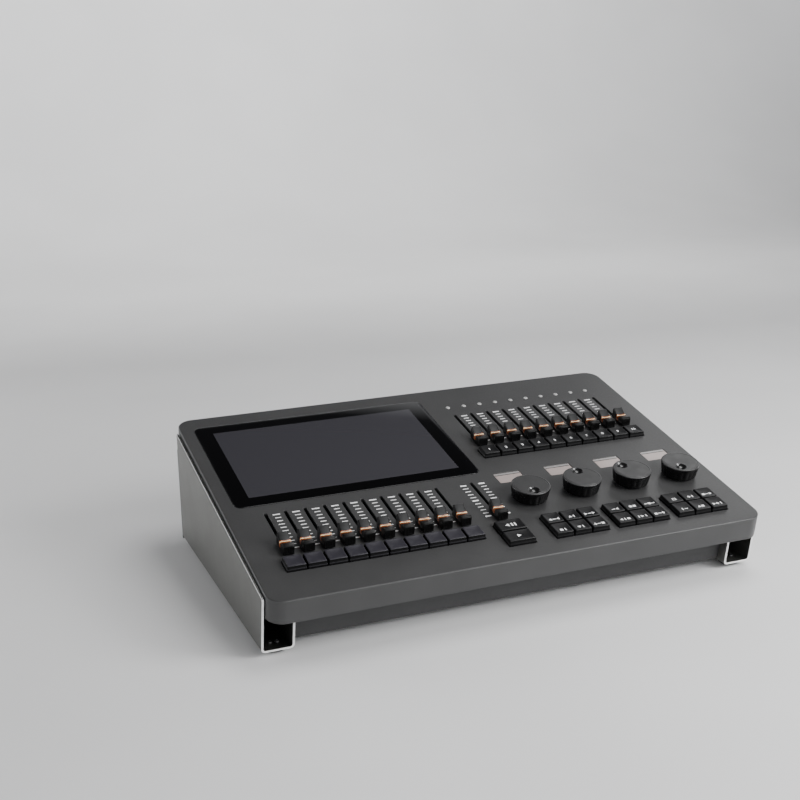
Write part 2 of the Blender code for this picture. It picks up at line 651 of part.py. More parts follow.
def control_board(name, left, right, rear, slots, keys, wheels=()):
    """Circuit board with its fader housings, key switches, encoders and small displays."""
    board = bmesh.new()
    front = 20 * MM
    block(board, (right - left, rear - front), ((left + right) / 2, (front + rear) / 2),
          BOARD_W - BOARD_THICK, BOARD_W)
    housings = bmesh.new()
    hollows = bmesh.new()
    foot = BOARD_W - BOARD_THICK / 2
    for x, s in slots:
        middle = (x, s + SLOT_LENGTH / 2)
        block(housings, (9 * MM, SLOT_LENGTH + 7 * MM), middle, foot, UNDER)
        block(hollows, (2.8 * MM, SLOT_LENGTH + MM), middle, -12 * MM, 0)
    for x, s in keys:
        block(housings, (14 * MM, 14 * MM), (x, s), foot, SWITCH_TOP_W)
        block(hollows, (5 * MM, 5 * MM), (x, s), BOARD_W + MM, SWITCH_TOP_W + MM)
    bushes = bmesh.new()
    for x in wheels:
        block(housings, (14 * MM, 14 * MM), (x, WHEEL_S), foot, UNDER - MM)
        turned(bushes, [(4.3 * MM, -6 * MM), (4.3 * MM, 1.2 * MM)], (x, WHEEL_S), 12)
        turned(hollows, [(3.4 * MM, -12 * MM), (3.4 * MM, 3 * MM)], (x, WHEEL_S), 12)
        block(housings, (WINDOW_SIZE[0], WINDOW_SIZE[1] - 3 * MM), (x, WINDOW_S), foot, WINDOW_BACK_W - GAP)
    board = combine(board, housings, "UNION")
    if wheels:
        board = combine(board, bushes, "UNION")
    else:
        bushes.free()
    node(name, combine(board, hollows), "board", deck)


def fader(name, x, s):
    """Cap and tongue as one piece, resting at the operator's end of its travel."""
    bm = bmesh.new()
    half = CAP_WIDTH / 2
    foot = 1 * MM
    profile = [(-CAP_FRONT, foot), (CAP_FRONT, foot), (CAP_FRONT, 11 * MM), (9.6 * MM, 13 * MM),
               (8 * MM, 12.8 * MM), (2 * MM, 9 * MM), (-2 * MM, 8.6 * MM), (-9 * MM, 10.5 * MM),
               (-CAP_FRONT, 8.8 * MM)]
    prism_across(bm, profile, -half, half)
    tongue = bmesh.new()
    block(tongue, (1.6 * MM, 5 * MM), (0, 0), -10 * MM, 4 * MM)
    bm = combine(bm, tongue, "UNION")
    rest = s + (SLOT_LENGTH - FADER_TRAVEL) / 2
    node(name, bm, "cap", deck, (x, rest, 0))


def key_group(name, keys, finish, wide=KEY_SIZE):
    """Bevelled caps in a row, joined below the panel by a web, each with a stem to its switch."""
    middle = (sum(x for x, s in keys) / len(keys), sum(s for x, s in keys) / len(keys))
    caps = bmesh.new()
    stems = bmesh.new()
    for x, s in keys:
        place = (x - middle[0], s - middle[1])
        loft(caps, [[(px, py, z) for px, py in corners((wide - 2 * inset, KEY_SIZE - 2 * inset), place)]
                    for z, inset in ((-KEY_SINK, 0), (KEY_RISE - 0.7 * MM, 0.4 * MM), (KEY_RISE, 1 * MM))])
        block(stems, (4 * MM, 4 * MM), place, STEM_END_W, 0)
    caps = combine(caps, stems, "UNION")
    if len(keys) > 1:
        web = bmesh.new()
        span = (len(keys) - 1) * PITCH
        block(web, (span, 9 * MM), (0, 0), 0.2 * MM - KEY_SINK, 1.7 * MM - KEY_SINK)
        caps = combine(caps, web, "UNION")
    node(name, caps, finish, deck, (*middle, 0))


def encoder_wheel(name, x, dimple_angle):
    """Wheel with a finger dimple and its shaft, turning about the panel's normal."""
    bm = bmesh.new()
    top = WHEEL_TOP_W
    turned(bm, [(3 * MM, -11 * MM), (3 * MM, WHEEL_FOOT_W), (WHEEL_FOOT_RADIUS, WHEEL_FOOT_W),
                (WHEEL_RADIUS, top - 1.2 * MM), (WHEEL_RADIUS - 1.2 * MM, top)], (0, 0), 30)
    ball = bmesh.new()
    bmesh.ops.create_uvsphere(ball, u_segments=10, v_segments=8, radius=DIMPLE_RADIUS)
    angle = radians(dimple_angle)
    centre = (DIMPLE_AT * cos(angle), DIMPLE_AT * sin(angle), top + DIMPLE_RADIUS - DIMPLE_DEPTH)
    turn(ball, Matrix.Translation(centre))
    node(name, combine(bm, ball), "wheel", deck, (x, WHEEL_S, 0))


def display_window_strip():
    """Clear strip under the panel with a raised window above each wheel."""
    strip = bmesh.new()
    lands = bmesh.new()
    middle = sum(wheel_xs) / 4
    long = wheel_xs[-1] - wheel_xs[0] + WINDOW_SIZE[0] + 8 * MM
    block(strip, (long, WINDOW_SIZE[1] + 6 * MM), (middle, WINDOW_S), WINDOW_BACK_W, UNDER)
    for x in wheel_xs:
        block(lands, (WINDOW_SIZE[0] - 2 * GAP, WINDOW_SIZE[1] - 2 * GAP), (x, WINDOW_S), UNDER - MM, -0.4 * MM)
    node("display_window_strip", combine(strip, lands, "UNION"), "window", deck)


def lamp_light_bar():
    """Light pipe with one low dome for each upper fader."""
    bar = bmesh.new()
    domes = bmesh.new()
    middle = sum(upper_xs) / FADER_COUNT
    block(bar, (FADER_COUNT * PITCH - 6 * MM, 8 * MM), (middle, LAMP_S), -6 * MM, UNDER)
    for x in upper_xs:
        turned(domes, [(LAMP_RADIUS, -4 * MM), (LAMP_RADIUS, 0.2 * MM), (LAMP_RADIUS * 0.6, 0.9 * MM)],
               (x, LAMP_S), 8)
    node("lamp_light_bar", combine(bar, domes, "UNION"), "lamp", deck)


top_panel()
side_rail("left_side_rail", -1)
side_rail("right_side_rail", 1)
bottom_tray()
rear_panel()
for number, x in enumerate(DMX_XS, 1):
    dmx_socket(f"dmx_output_{number}", x)
power_inlet()
switch_housing()
power_switch()
main_board()
power_supply()
for end, y in foot_ys.items():
    for name, side in (("left", -1), ("right", 1)):
        rubber_foot(f"{end}_{name}_foot", side * (RAIL_OUT - RAIL_WIDTH / 2), y)
touchscreen()
control_board("left_control_board", -230 * MM, 19 * MM, 150 * MM,
              fader_slots[:FADER_COUNT] + fader_slots[-1:], small_keys[:FADER_COUNT] + wide_keys)
control_board("right_control_board", 20 * MM, 232 * MM, 310 * MM,
              fader_slots[FADER_COUNT:-1], small_keys[FADER_COUNT:], wheel_xs)
display_window_strip()
lamp_light_bar()
for number, x in enumerate(lower_xs, 1):
    fader(f"lower_fader_{number}", x, LOWER_SLOT_S)
for number, x in enumerate(upper_xs, 1):
    fader(f"upper_fader_{number}", x, UPPER_SLOT_S)
fader("master_fader", MASTER_X, LOWER_SLOT_S)
for number, (x, angle) in enumerate(zip(wheel_xs, DIMPLE_ANGLES), 1):
    encoder_wheel(f"encoder_wheel_{number}", x, angle)
half_row = FADER_COUNT // 2
for label, xs, s, finish in (("lower", lower_xs, LOWER_KEYS_S, "key_soft"),
                             ("upper", upper_xs, UPPER_KEYS_S, "key")):
    key_group(f"{label}_flash_keys_left", [(x, s) for x in xs[:half_row]], finish)
    key_group(f"{label}_flash_keys_right", [(x, s) for x in xs[half_row:]], finish)
for pad in range(3):
    for row, s in zip(("rear", "front"), PAD_ROWS_S):
        key_group(f"pad_{pad + 1}_{row}_keys", [(x, s) for x in pad_columns(pad)], "key")
for name, place in zip(("pause_key", "go_key"), wide_keys):
    key_group(name, [place], "key", WIDE_KEY_WIDTH)
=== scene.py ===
"""Looks of the lighting control desk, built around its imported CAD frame."""

import json
from math import cos, pi, radians, sin, sqrt

import bmesh
import bpy
from mathutils import Matrix, Vector

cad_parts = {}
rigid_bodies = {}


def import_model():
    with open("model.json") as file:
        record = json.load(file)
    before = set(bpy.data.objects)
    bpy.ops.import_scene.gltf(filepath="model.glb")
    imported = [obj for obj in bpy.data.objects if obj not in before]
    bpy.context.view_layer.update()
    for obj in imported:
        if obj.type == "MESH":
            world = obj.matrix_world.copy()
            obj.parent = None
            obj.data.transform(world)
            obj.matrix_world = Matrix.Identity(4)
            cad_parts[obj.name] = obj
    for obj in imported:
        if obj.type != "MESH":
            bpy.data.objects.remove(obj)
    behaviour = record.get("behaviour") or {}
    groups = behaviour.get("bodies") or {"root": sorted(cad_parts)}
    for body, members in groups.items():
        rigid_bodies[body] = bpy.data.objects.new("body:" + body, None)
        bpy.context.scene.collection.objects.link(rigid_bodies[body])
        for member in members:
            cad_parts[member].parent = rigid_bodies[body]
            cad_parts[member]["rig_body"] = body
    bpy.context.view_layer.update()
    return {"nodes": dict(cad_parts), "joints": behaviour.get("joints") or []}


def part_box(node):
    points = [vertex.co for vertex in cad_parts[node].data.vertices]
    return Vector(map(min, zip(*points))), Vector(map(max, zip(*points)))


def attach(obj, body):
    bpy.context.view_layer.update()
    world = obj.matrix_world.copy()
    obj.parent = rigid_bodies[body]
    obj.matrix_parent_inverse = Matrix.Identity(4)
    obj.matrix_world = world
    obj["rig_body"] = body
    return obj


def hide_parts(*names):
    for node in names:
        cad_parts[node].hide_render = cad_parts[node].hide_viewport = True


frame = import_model()

MM = 0.001
SKIN = 0.03 * MM
JOINTS = {joint["name"]: joint for joint in frame["joints"]}

# The sloped deck: x across, s up the slope from the hood's front edge, w off its surface.
slope = Vector(JOINTS["master_fader_slide"]["axis"])
normal = Vector(JOINTS["encoder_wheel_1_turn"]["axis"])
surface_point = Vector(JOINTS["encoder_wheel_1_turn"]["pos_m"])


def deck_frame():
    """Matrix from (x, s, w) on the deck to the world."""
    hood = frame["nodes"]["top_panel"]
    front = min((vertex.co - surface_point).dot(slope) for vertex in hood.data.vertices)
    origin = surface_point + slope * front
    origin.x = 0
    matrix = Matrix((Vector((1, 0, 0)), slope, normal)).transposed().to_4x4()
    matrix.translation = origin
    return matrix


DECK = deck_frame()
TO_DECK = DECK.inverted()


def deck_box(node):
    """Lowest and highest corner of a CAD node in deck coordinates."""
    points = [TO_DECK @ vertex.co for vertex in frame["nodes"][node].data.vertices]
    return [Vector(pick(point[axis] for point in points) for axis in range(3)) for pick in (min, max)]


def deck_middle(node):
    low, high = deck_box(node)
    return (low + high) / 2


# Sizes that the frame's nodes repeat
PITCH = 19.05 * MM
PANEL_THICK = 2 * MM
PANEL_CORNER = 16 * MM
PANEL_EDGE = 1.2 * MM
SKIRT_DEPTH = 23 * MM
SLOT_WIDTH = 3.4 * MM
SLOT_LENGTH = 69 * MM
FADER_TRAVEL = 60 * MM
KEY_SIZE = 18 * MM
KEY_RISE = 5 * MM
WINDOW_SIZE = (29 * MM, 19 * MM)
KEY_WELL_MARGIN = Vector((0.6 * MM, 0.9 * MM, 0))
WHEEL_HOLE_RADIUS = 4.7 * MM
LAMP_RADIUS = 2.4 * MM
LAMP_HOLE_RADIUS = 2.7 * MM
GLASS_GAP = 0.6 * MM
GLASS_CORNER = 8 * MM
GLASS_PROUD = 0.3 * MM
ACTIVE_HALF = (108.5 * MM, 68 * MM)
MERGE_WITHIN = 0.005 * MM
SAME_PLANE = radians(0.5)
FADER_BANKS = ("lower", "upper")
FADERS = [f"{bank}_fader_{i}" for bank in FADER_BANKS for i in range(1, 11)] + ["master_fader"]
WHEELS = [f"encoder_wheel_{i}" for i in range(1, 5)]


# Materials


class Nodes:
    """A material's node tree, with short calls for what the finishes share."""

    def __init__(self, name, colour, roughness, metallic=0.0):
        self.material = bpy.data.materials.new(name)
        self.material.use_nodes = True
        self.tree = self.material.node_tree
        self.shader = self.tree.nodes["Principled BSDF"]
        self.set("Base Color", (*colour, 1))
        self.set("Roughness", roughness)
        self.set("Metallic", metallic)
        self.place = self.add("ShaderNodeTexCoord").outputs["Object"]

    def set(self, socket, value):
        self.shader.inputs[socket].default_value = value

    def add(self, kind, **settings):
        made = self.tree.nodes.new(kind)
        for name, value in settings.items():
            setattr(made, name, value)
        return made

    def link(self, output, target):
        self.tree.links.new(output, target)

    def stretched(self, scale):
        mapping = self.add("ShaderNodeMapping")
        mapping.inputs["Scale"].default_value = scale
        self.link(self.place, mapping.inputs["Vector"])
        return mapping.outputs["Vector"]

    def noise(self, scale, detail=3.0, place=None, rough=0.5):
        made = self.add("ShaderNodeTexNoise")
        made.inputs["Scale"].default_value = scale
        made.inputs["Detail"].default_value = detail
        made.inputs["Roughness"].default_value = rough
        self.link(place or self.place, made.inputs["Vector"])
        return made.outputs["Fac"]

    def ramp(self, factor, low, high, start=0.35, end=0.65):
        """A factor spread between two values or two colours."""
        if isinstance(low, float):
            made = self.add("ShaderNodeMapRange")
            limits = {"From Min": start, "From Max": end, "To Min": low, "To Max": high}
            for socket, value in limits.items():
                made.inputs[socket].default_value = value
            self.link(factor, made.inputs["Value"])
            return made.outputs["Result"]
        made = self.add("ShaderNodeValToRGB")
        made.color_ramp.elements[0].position = start
        made.color_ramp.elements[0].color = (*low, 1)
        made.color_ramp.elements[1].position = end
        made.color_ramp.elements[1].color = (*high, 1)
        self.link(factor, made.inputs["Fac"])
        return made.outputs["Color"]

    def colour(self, output):
        self.link(output, self.shader.inputs["Base Color"])

    def roughness(self, output):
        self.link(output, self.shader.inputs["Roughness"])

    def bump(self, height, strength, distance):
        made = self.add("ShaderNodeBump")
        made.inputs["Strength"].default_value = strength
        made.inputs["Distance"].default_value = distance
        self.link(height, made.inputs["Height"])
        self.link(made.outputs["Normal"], self.shader.inputs["Normal"])


def shade(colour, factor):
    return tuple(min(1, factor * channel) for channel in colour)


def powder_coat(name, colour, roughness, grain=1600.0):
    """Textured paint: fine pebble, slow mottle and a broken sheen."""
    nodes = Nodes(name, colour, roughness)
    nodes.colour(nodes.ramp(nodes.noise(22.0, 4.0), shade(colour, 0.93), shade(colour, 1.07)))
    pebble = nodes.noise(grain, 3.0, rough=0.6)
    nodes.roughness(nodes.ramp(nodes.noise(grain / 3, 4.0), roughness - 0.05, roughness + 0.06))
    nodes.bump(pebble, 0.35, 0.05 * MM)
    nodes.set("Specular IOR Level", 0.45)
    return nodes.material


def brushed_metal(name, colour, roughness, along=(60.0, 4.0, 900.0), metallic=1.0):
    """Metal with fine drawn lines along Y and faint cloudy handling marks."""
    nodes = Nodes(name, colour, roughness, metallic)
    lines = nodes.noise(6.0, 5.0, nodes.stretched(along), 0.65)
    cloud = nodes.noise(14.0, 3.0)
    nodes.colour(nodes.ramp(lines, shade(colour, 0.86), shade(colour, 1.08), 0.3, 0.7))
    mixed = nodes.add("ShaderNodeMath", operation="MULTIPLY_ADD")
    nodes.link(lines, mixed.inputs[0])
    mixed.inputs[1].default_value = 0.22
    nodes.link(nodes.ramp(cloud, roughness - 0.14, roughness - 0.04), mixed.inputs[2])
    nodes.roughness(mixed.outputs[0])
    nodes.bump(lines, 0.18, 0.04 * MM)
    return nodes.material


def moulded(name, colour, roughness, grain=2600.0, strength=0.22, coat=0.0, specular=0.5):
    """Moulded plastic with spark-eroded grain and slightly polished patches."""
    nodes = Nodes(name, colour, roughness)
    worn = nodes.noise(90.0, 4.0)
    nodes.colour(nodes.ramp(worn, shade(colour, 0.9), shade(colour, 1.12), 0.3, 0.7))
    nodes.roughness(nodes.ramp(worn, roughness + 0.05, roughness - 0.06))
    nodes.bump(nodes.noise(grain, 2.0), strength, 0.03 * MM)
    nodes.set("Specular IOR Level", specular)
    nodes.set("Coat Weight", coat)
    nodes.set("Coat Roughness", 0.25)
    return nodes.material


def printed(name, colour):
    """Screen-printed ink with a slightly uneven edge-to-edge cover."""
    nodes = Nodes(name, colour, 0.55)
    cover = nodes.noise(1400.0, 3.0)
    nodes.colour(nodes.ramp(cover, shade(colour, 0.8), colour, 0.25, 0.55))
    nodes.bump(nodes.noise(2400.0, 2.0), 0.2, 0.02 * MM)
    return nodes.material


def smudged_glass(name, black, grey, area):
    """Glossy glass: black printed border, dark display area and faint finger smudges."""
    nodes = Nodes(name, black, 0.05)
    split = nodes.add("ShaderNodeSeparateXYZ")
    nodes.link(nodes.place, split.inputs["Vector"])
    inside = None
    for axis, (low, high) in zip("XY", area):
        for edge, operation in ((low, "GREATER_THAN"), (high, "LESS_THAN")):
            test = nodes.add("ShaderNodeMath", operation=operation)
            nodes.link(split.outputs[axis], test.inputs[0])
            test.inputs[1].default_value = edge
            if inside is None:
                inside = test.outputs[0]
                continue
            both = nodes.add("ShaderNodeMath", operation="MULTIPLY")
            nodes.link(inside, both.inputs[0])
            nodes.link(test.outputs[0], both.inputs[1])
            inside = both.outputs[0]
    nodes.colour(nodes.ramp(inside, black, grey, 0.4, 0.6))
    smudge = nodes.noise(28.0, 6.0, rough=0.7)
    nodes.roughness(nodes.ramp(smudge, 0.035, 0.13, 0.4, 0.75))
    nodes.set("Specular IOR Level", 0.4)
    nodes.set("Coat Weight", 0.15)
    nodes.set("Coat Roughness", 0.03)
    return nodes.material


def circuit_board(name):
    """Black solder resist over faint traces."""
    nodes = Nodes(name, (0.004, 0.006, 0.005), 0.5)
    weave = nodes.noise(900.0, 2.0, nodes.stretched((1.0, 0.1, 1.0)))
    nodes.colour(nodes.ramp(weave, (0.003, 0.004, 0.0035), (0.008, 0.011, 0.009), 0.48, 0.52))
    nodes.bump(weave, 0.2, 0.03 * MM)
    return nodes.material


def film(name, colour):
    """Frosted film lying behind a clear window."""
    nodes = Nodes(name, colour, 0.3)
    cloud = nodes.noise(60.0, 3.0)
    nodes.colour(nodes.ramp(cloud, shade(colour, 0.93), colour, 0.3, 0.7))
    nodes.bump(nodes.noise(3000.0, 1.0), 0.08, 0.01 * MM)
    nodes.set("Coat Weight", 0.4)
    nodes.set("Coat Roughness", 0.08)
    return nodes.material


PANEL = powder_coat("panel_powder_coat", (0.040, 0.040, 0.0403), 0.36)
CHASSIS = powder_coat("chassis_powder_coat", (0.036, 0.036, 0.0365), 0.5, 1300.0)
RAIL = brushed_metal("rail_brushed", (0.21, 0.21, 0.20), 0.42)
# Near-white metal for the rails' sheared ends and every rounded edge: partly bare cut metal, partly a
# painted highlight along the bends.
BARE_EDGE_AND_HIGHLIGHT = brushed_metal("rail_cut_edge_and_painted_highlight", (0.95, 0.95, 0.93), 0.42, (300.0, 300.0, 300.0), 0.35)
GLASS = smudged_glass("screen_gloss", (0.0012, 0.0012, 0.0014), (0.040, 0.039, 0.045),
                      [(-half, half) for half in ACTIVE_HALF])
KEY_DARK = moulded("key_black_satin", (0.0045, 0.0044, 0.0050), 0.36, specular=0.26)
KEY_SOFT = moulded("key_violet_satin", (0.0200, 0.0185, 0.0255), 0.42, specular=0.36)
# Near-black copy of the key plastic for the upright sides: painted shade, so the sides read darker than the
# tops.
KEY_SHADED_SIDE = moulded("key_side_painted_shade", (0.0012, 0.0012, 0.0014), 0.5, specular=0.12)
CAP = moulded("fader_cap_black", (0.0020, 0.0020, 0.0020), 0.42, specular=0.25)
# Lighter grey copy of the cap plastic for the rear slope's upward faces: painted sheen where the slope
# catches light.
CAP_SHEEN_TOP = moulded("fader_cap_painted_sheen", (0.0125, 0.013, 0.0135), 0.45, 1900.0, 0.4, specular=0.3)
COPPER = moulded("stripe_copper", (0.26, 0.060, 0.008), 0.25, 2000.0, 0.05, coat=0.4)
# Pale cream strip along the middle of the orange band: a painted highlight where the glossy stripe reflects
# light.
HIGHLIGHT_STRIPE = moulded("stripe_painted_highlight", (1.0, 0.74, 0.42), 0.3, 2000.0, 0.05, coat=0.3)
# The wheel is one black plastic: the top copy is painted lighter as the lit face, and the near-black copy
# on the sides and foot is painted shade.
WHEEL_TOP = moulded("wheel_satin", (0.027, 0.027, 0.0273), 0.36, 2300.0, 0.25)
WHEEL_SHADED_SIDE = moulded("wheel_side_painted_shade", (0.0018, 0.0018, 0.0020), 0.30, 1500.0, 0.15, specular=0.3)
DIMPLE = moulded("wheel_dimple_gloss", (0.008, 0.008, 0.008), 0.18, strength=0.06, coat=0.4)
FILM = film("window_film", (0.40, 0.335, 0.315))
FILM_EDGE = film("window_clear_edge", (0.30, 0.29, 0.285))
LAMP = film("lamp_frosted", (0.40, 0.40, 0.39))
WHITE_PRINT = printed("white_print", (0.96, 0.96, 0.96))
SOCKET = moulded("socket_black", (0.012, 0.012, 0.012), 0.4)
RUBBER = moulded("foot_rubber", (0.010, 0.010, 0.010), 0.85, 1100.0, 0.5)
STEEL = brushed_metal("plated_steel", (0.60, 0.59, 0.56), 0.36, (200.0, 200.0, 200.0))
BLACK_STEEL = brushed_metal("blackened_steel", (0.10, 0.10, 0.10), 0.45, (200.0, 200.0, 200.0))
SHEET = brushed_metal("pressed_sheet", (0.48, 0.48, 0.47), 0.45, (20.0, 400.0, 20.0))
BOARD = circuit_board("circuit_board")


# Mesh tools


def corners(size, centre=(0, 0), radius=0.0, steps=1):
    """A rectangle with round corners, as (x, y) points counter-clockwise."""
    points = []
    for quarter in range(4):
        sign_x = 1 if quarter in (0, 3) else -1
        sign_y = 1 if quarter in (0, 1) else -1
        cx = centre[0] + sign_x * (size[0] / 2 - radius)
        cy = centre[1] + sign_y * (size[1] / 2 - radius)
        for step in range(steps + 1):
            angle = (quarter + step / steps) * pi / 2
            points.append((cx + radius * cos(angle), cy + radius * sin(angle)))
    return points


def circle(radius, centre=(0, 0), sides=24):
    return [(centre[0] + radius * cos(2 * pi * i / sides), centre[1] + radius * sin(2 * pi * i / sides))
            for i in range(sides)]


def ring(bm, points, height):
    return [bm.verts.new((x, y, height)) for x, y in points]


def bridge(bm, low, high):
    """Quads between two rings of the same count."""
    count = len(low)
    for i in range(count):
        j = (i + 1) % count
        bm.faces.new((low[i], low[j], high[j], high[i]))


def loft(bm, levels, cap_low=True, cap_high=True):
    """Skin a stack of (points, height) rings."""
    rings = [ring(bm, points, height) for points, height in levels]
    for low, high in zip(rings, rings[1:]):
        bridge(bm, low, high)
    if cap_low:
        bm.faces.new(rings[0][::-1])
    if cap_high:
        bm.faces.new(rings[-1])
    return rings


def turned(bm, profile, centre=(0, 0), sides=32):
    return loft(bm, [(circle(max(radius, 0.01 * MM), centre, sides), height) for radius, height in profile])


def finished_mesh(name, bm, materials, smooth=35):
    """A mesh from a bmesh, shaded smooth but for its sharp edges."""
    bmesh.ops.recalc_face_normals(bm, faces=bm.faces)
    mesh = bpy.data.meshes.new(name)
    bm.to_mesh(mesh)
    bm.free()
    mesh.shade_smooth()
    mesh.set_sharp_from_angle(angle=radians(smooth))
    for material in materials:
        mesh.materials.append(material)
    return mesh


def place(name, bm, materials, matrix=Matrix.Identity(4), smooth=35):
    """A finished object from a bmesh."""
    materials = materials if isinstance(materials, list) else [materials]
    return put(name, finished_mesh(name, bm, materials, smooth), matrix)


def put(name, mesh, matrix):
    made = bpy.data.objects.new(name, mesh)
    made.matrix_world = matrix
    bpy.context.scene.collection.objects.link(made)
    return made


def soften(obj, width, segments=2, angle=35):
    """Round the edges with a bevel and keep the faces flat."""
    bevel = obj.modifiers.new("edges", "BEVEL")
    bevel.width = width
    bevel.segments = segments
    bevel.limit_method = "ANGLE"
    bevel.angle_limit = radians(angle)
    bevel.harden_normals = True
    return obj


def finish_piece(obj, body, slot, *nodes):
    """What every piece needs: its body and the CAD nodes it stands for, which it hides. The slot argument
    is not used.
    """
    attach(obj, body)
    if nodes:
        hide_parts(*nodes)


def cad_shape(node):
    """The CAD node's mesh with its flat faces whole again."""
    bm = bmesh.new()
    bm.from_mesh(frame["nodes"][node].data)
    bmesh.ops.remove_doubles(bm, verts=bm.verts, dist=MERGE_WITHIN)
    bmesh.ops.dissolve_limit(bm, angle_limit=SAME_PLANE, verts=bm.verts, edges=bm.edges)
    return bm


def refined(node, name, material, slot, width, segments=2):
    """The CAD node's own shape with its edges rounded."""
    obj = soften(place(name, cad_shape(node), material), width, segments)
    finish_piece(obj, frame["nodes"][node]["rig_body"], slot, node)


def at_deck(x, s, w=0.0, turn=0.0):
    return DECK @ Matrix.Translation((x, s, w)) @ Matrix.Rotation(turn, 4, "Z")


def cut(base, tool):
    """One bmesh cut out of another; both are used up."""
    objects = []
    for bm in (base, tool):
        bmesh.ops.recalc_face_normals(bm, faces=bm.faces)
        mesh = bpy.data.meshes.new("operand")
        bm.to_mesh(mesh)
        bm.free()
        objects.append(put("operand", mesh, Matrix.Identity(4)))
    boolean = objects[0].modifiers.new("boolean", "BOOLEAN")
    boolean.operation = "DIFFERENCE"
    boolean.solver = "EXACT"
    boolean.object = objects[1]
    bpy.context.view_layer.update()
    result = bmesh.new()
    result.from_object(objects[0], bpy.context.evaluated_depsgraph_get())
    for made in objects:
        mesh = made.data
        bpy.data.objects.remove(made)
        bpy.data.meshes.remove(mesh)
    return result


# Hood


def hole_outlines(grow):
    """Every opening in the hood's top, each outline grown by a margin."""
    outlines = []
    for name in FADERS:
        rest = deck_middle(name)
        size = (SLOT_WIDTH + 2 * grow, SLOT_LENGTH + 2 * grow)
        outlines.append(corners(size, (rest.x, rest.y + FADER_TRAVEL / 2), size[0] / 2.01, 5))
    for low, high in key_wells():
        size = (high.x - low.x + 2 * grow, high.y - low.y + 2 * grow)
        middle = ((low.x + high.x) / 2, (low.y + high.y) / 2)
        outlines.append(corners(size, middle, 1.2 * MM + grow, 3))
    for name in WHEELS:
        outlines.append(circle(WHEEL_HOLE_RADIUS + grow, deck_middle(name)[:2], 24))
    for x, s in window_places():
        size = (WINDOW_SIZE[0] + 2 * grow, WINDOW_SIZE[1] + 2 * grow)
        outlines.append(corners(size, (x, s), 0.8 * MM + grow, 3))
    for x, s in lamp_places():
        outlines.append(circle(LAMP_HOLE_RADIUS + grow, (x, s), 16))
    low, high = deck_box("touchscreen_glass")
    size = (high.x - low.x + GLASS_GAP + 2 * grow, high.y - low.y + GLASS_GAP + 2 * grow)
    middle = deck_middle("touchscreen_glass")
    outlines.append(corners(size, middle[:2], GLASS_CORNER + GLASS_GAP / 2 + grow, 8))
    return outlines


def key_wells():
    """Lowest and highest corner of each opening for a block of keys."""
    blocks = [[f"{bank}_flash_keys_{half}" for half in ("left", "right")] for bank in FADER_BANKS]
    blocks += [[f"pad_{pad}_{row}_keys" for row in ("rear", "front")] for pad in (1, 2, 3)]
    blocks.append(["pause_key", "go_key"])
    wells = []
    for names in blocks:
        boxes = [deck_box(name) for name in names]
        low = Vector(min(pair[0][axis] for pair in boxes) for axis in range(3))
        high = Vector(max(pair[1][axis] for pair in boxes) for axis in range(3))
        wells.append((low - KEY_WELL_MARGIN, high + KEY_WELL_MARGIN))
    return wells


def window_places():
    s = deck_middle("display_window_strip").y
    return [(deck_middle(name).x, s) for name in WHEELS]


def lamp_places():
    s = deck_middle("lamp_light_bar").y
    return [(deck_middle(f"upper_fader_{i}").x, s) for i in range(1, 11)]


def fill_between(bm, loops, height_sign):
    """Flat face between an outer ring and the rings inside it."""
    edges = []
    for loop in loops:
        for a, b in zip(loop, loop[1:] + loop[:1]):
            edges.append(bm.edges.get((a, b)) or bm.edges.new((a, b)))
    bmesh.ops.triangle_fill(bm, use_beauty=True, edges=edges, normal=(0, 0, height_sign))


def hood():
    """Folded sheet hood: rounded top edge, skirt all round and softened openings."""
    low, high = deck_box("top_panel")
    size = (high.x - low.x, high.y - low.y)
    centre = ((low.x + high.x) / 2, (low.y + high.y) / 2)
    bm = bmesh.new()

    def outline(inset):
        return corners((size[0] - 2 * inset, size[1] - 2 * inset), centre, PANEL_CORNER - inset, 14)

    hem, inner_bend, soft, steps = 0.25 * MM, 0.6 * MM, 0.35 * MM, 6
    outer = [(outline(hem), -SKIRT_DEPTH), (outline(0), -SKIRT_DEPTH + hem), (outline(0), -PANEL_EDGE)]
    for step in range(1, steps + 1):
        angle = step / steps * pi / 2
        outer.append((outline(PANEL_EDGE * (1 - cos(angle))), -PANEL_EDGE + PANEL_EDGE * sin(angle)))
    inner = [(outline(PANEL_THICK - hem), -SKIRT_DEPTH), (outline(PANEL_THICK), -SKIRT_DEPTH + hem),
             (outline(PANEL_THICK), -PANEL_THICK - inner_bend),
             (outline(PANEL_THICK + inner_bend), -PANEL_THICK)]
    outer_rings = loft(bm, outer, False, False)
    inner_rings = loft(bm, inner, False, False)
    bridge(bm, inner_rings[0], outer_rings[0])
    top_loops, under_loops = [outer_rings[-1]], [inner_rings[-1]]
    grown = [(hole_outlines(soft * (1 - sin(angle))), -soft * (1 - cos(angle)))
             for angle in (0, pi / 6, pi / 3, pi / 2)]
    for index in range(len(grown[0][0])):
        rings = [ring(bm, outlines[index], height) for outlines, height in grown]
        rings.append(ring(bm, grown[-1][0][index], -PANEL_THICK))
        for upper, lower in zip(rings, rings[1:]):
            bridge(bm, lower, upper)
        top_loops.append(rings[0])
        under_loops.append(rings[-1])
    fill_between(bm, top_loops, 1)
    fill_between(bm, under_loops, -1)
    piece = place("hood_shell", bm, PANEL, DECK, 50)
    piece.modifiers.new("flat_faces", "WEIGHTED_NORMAL").keep_sharp = True
    finish_piece(piece, "casework", "panel_paint", "top_panel")


# Rails


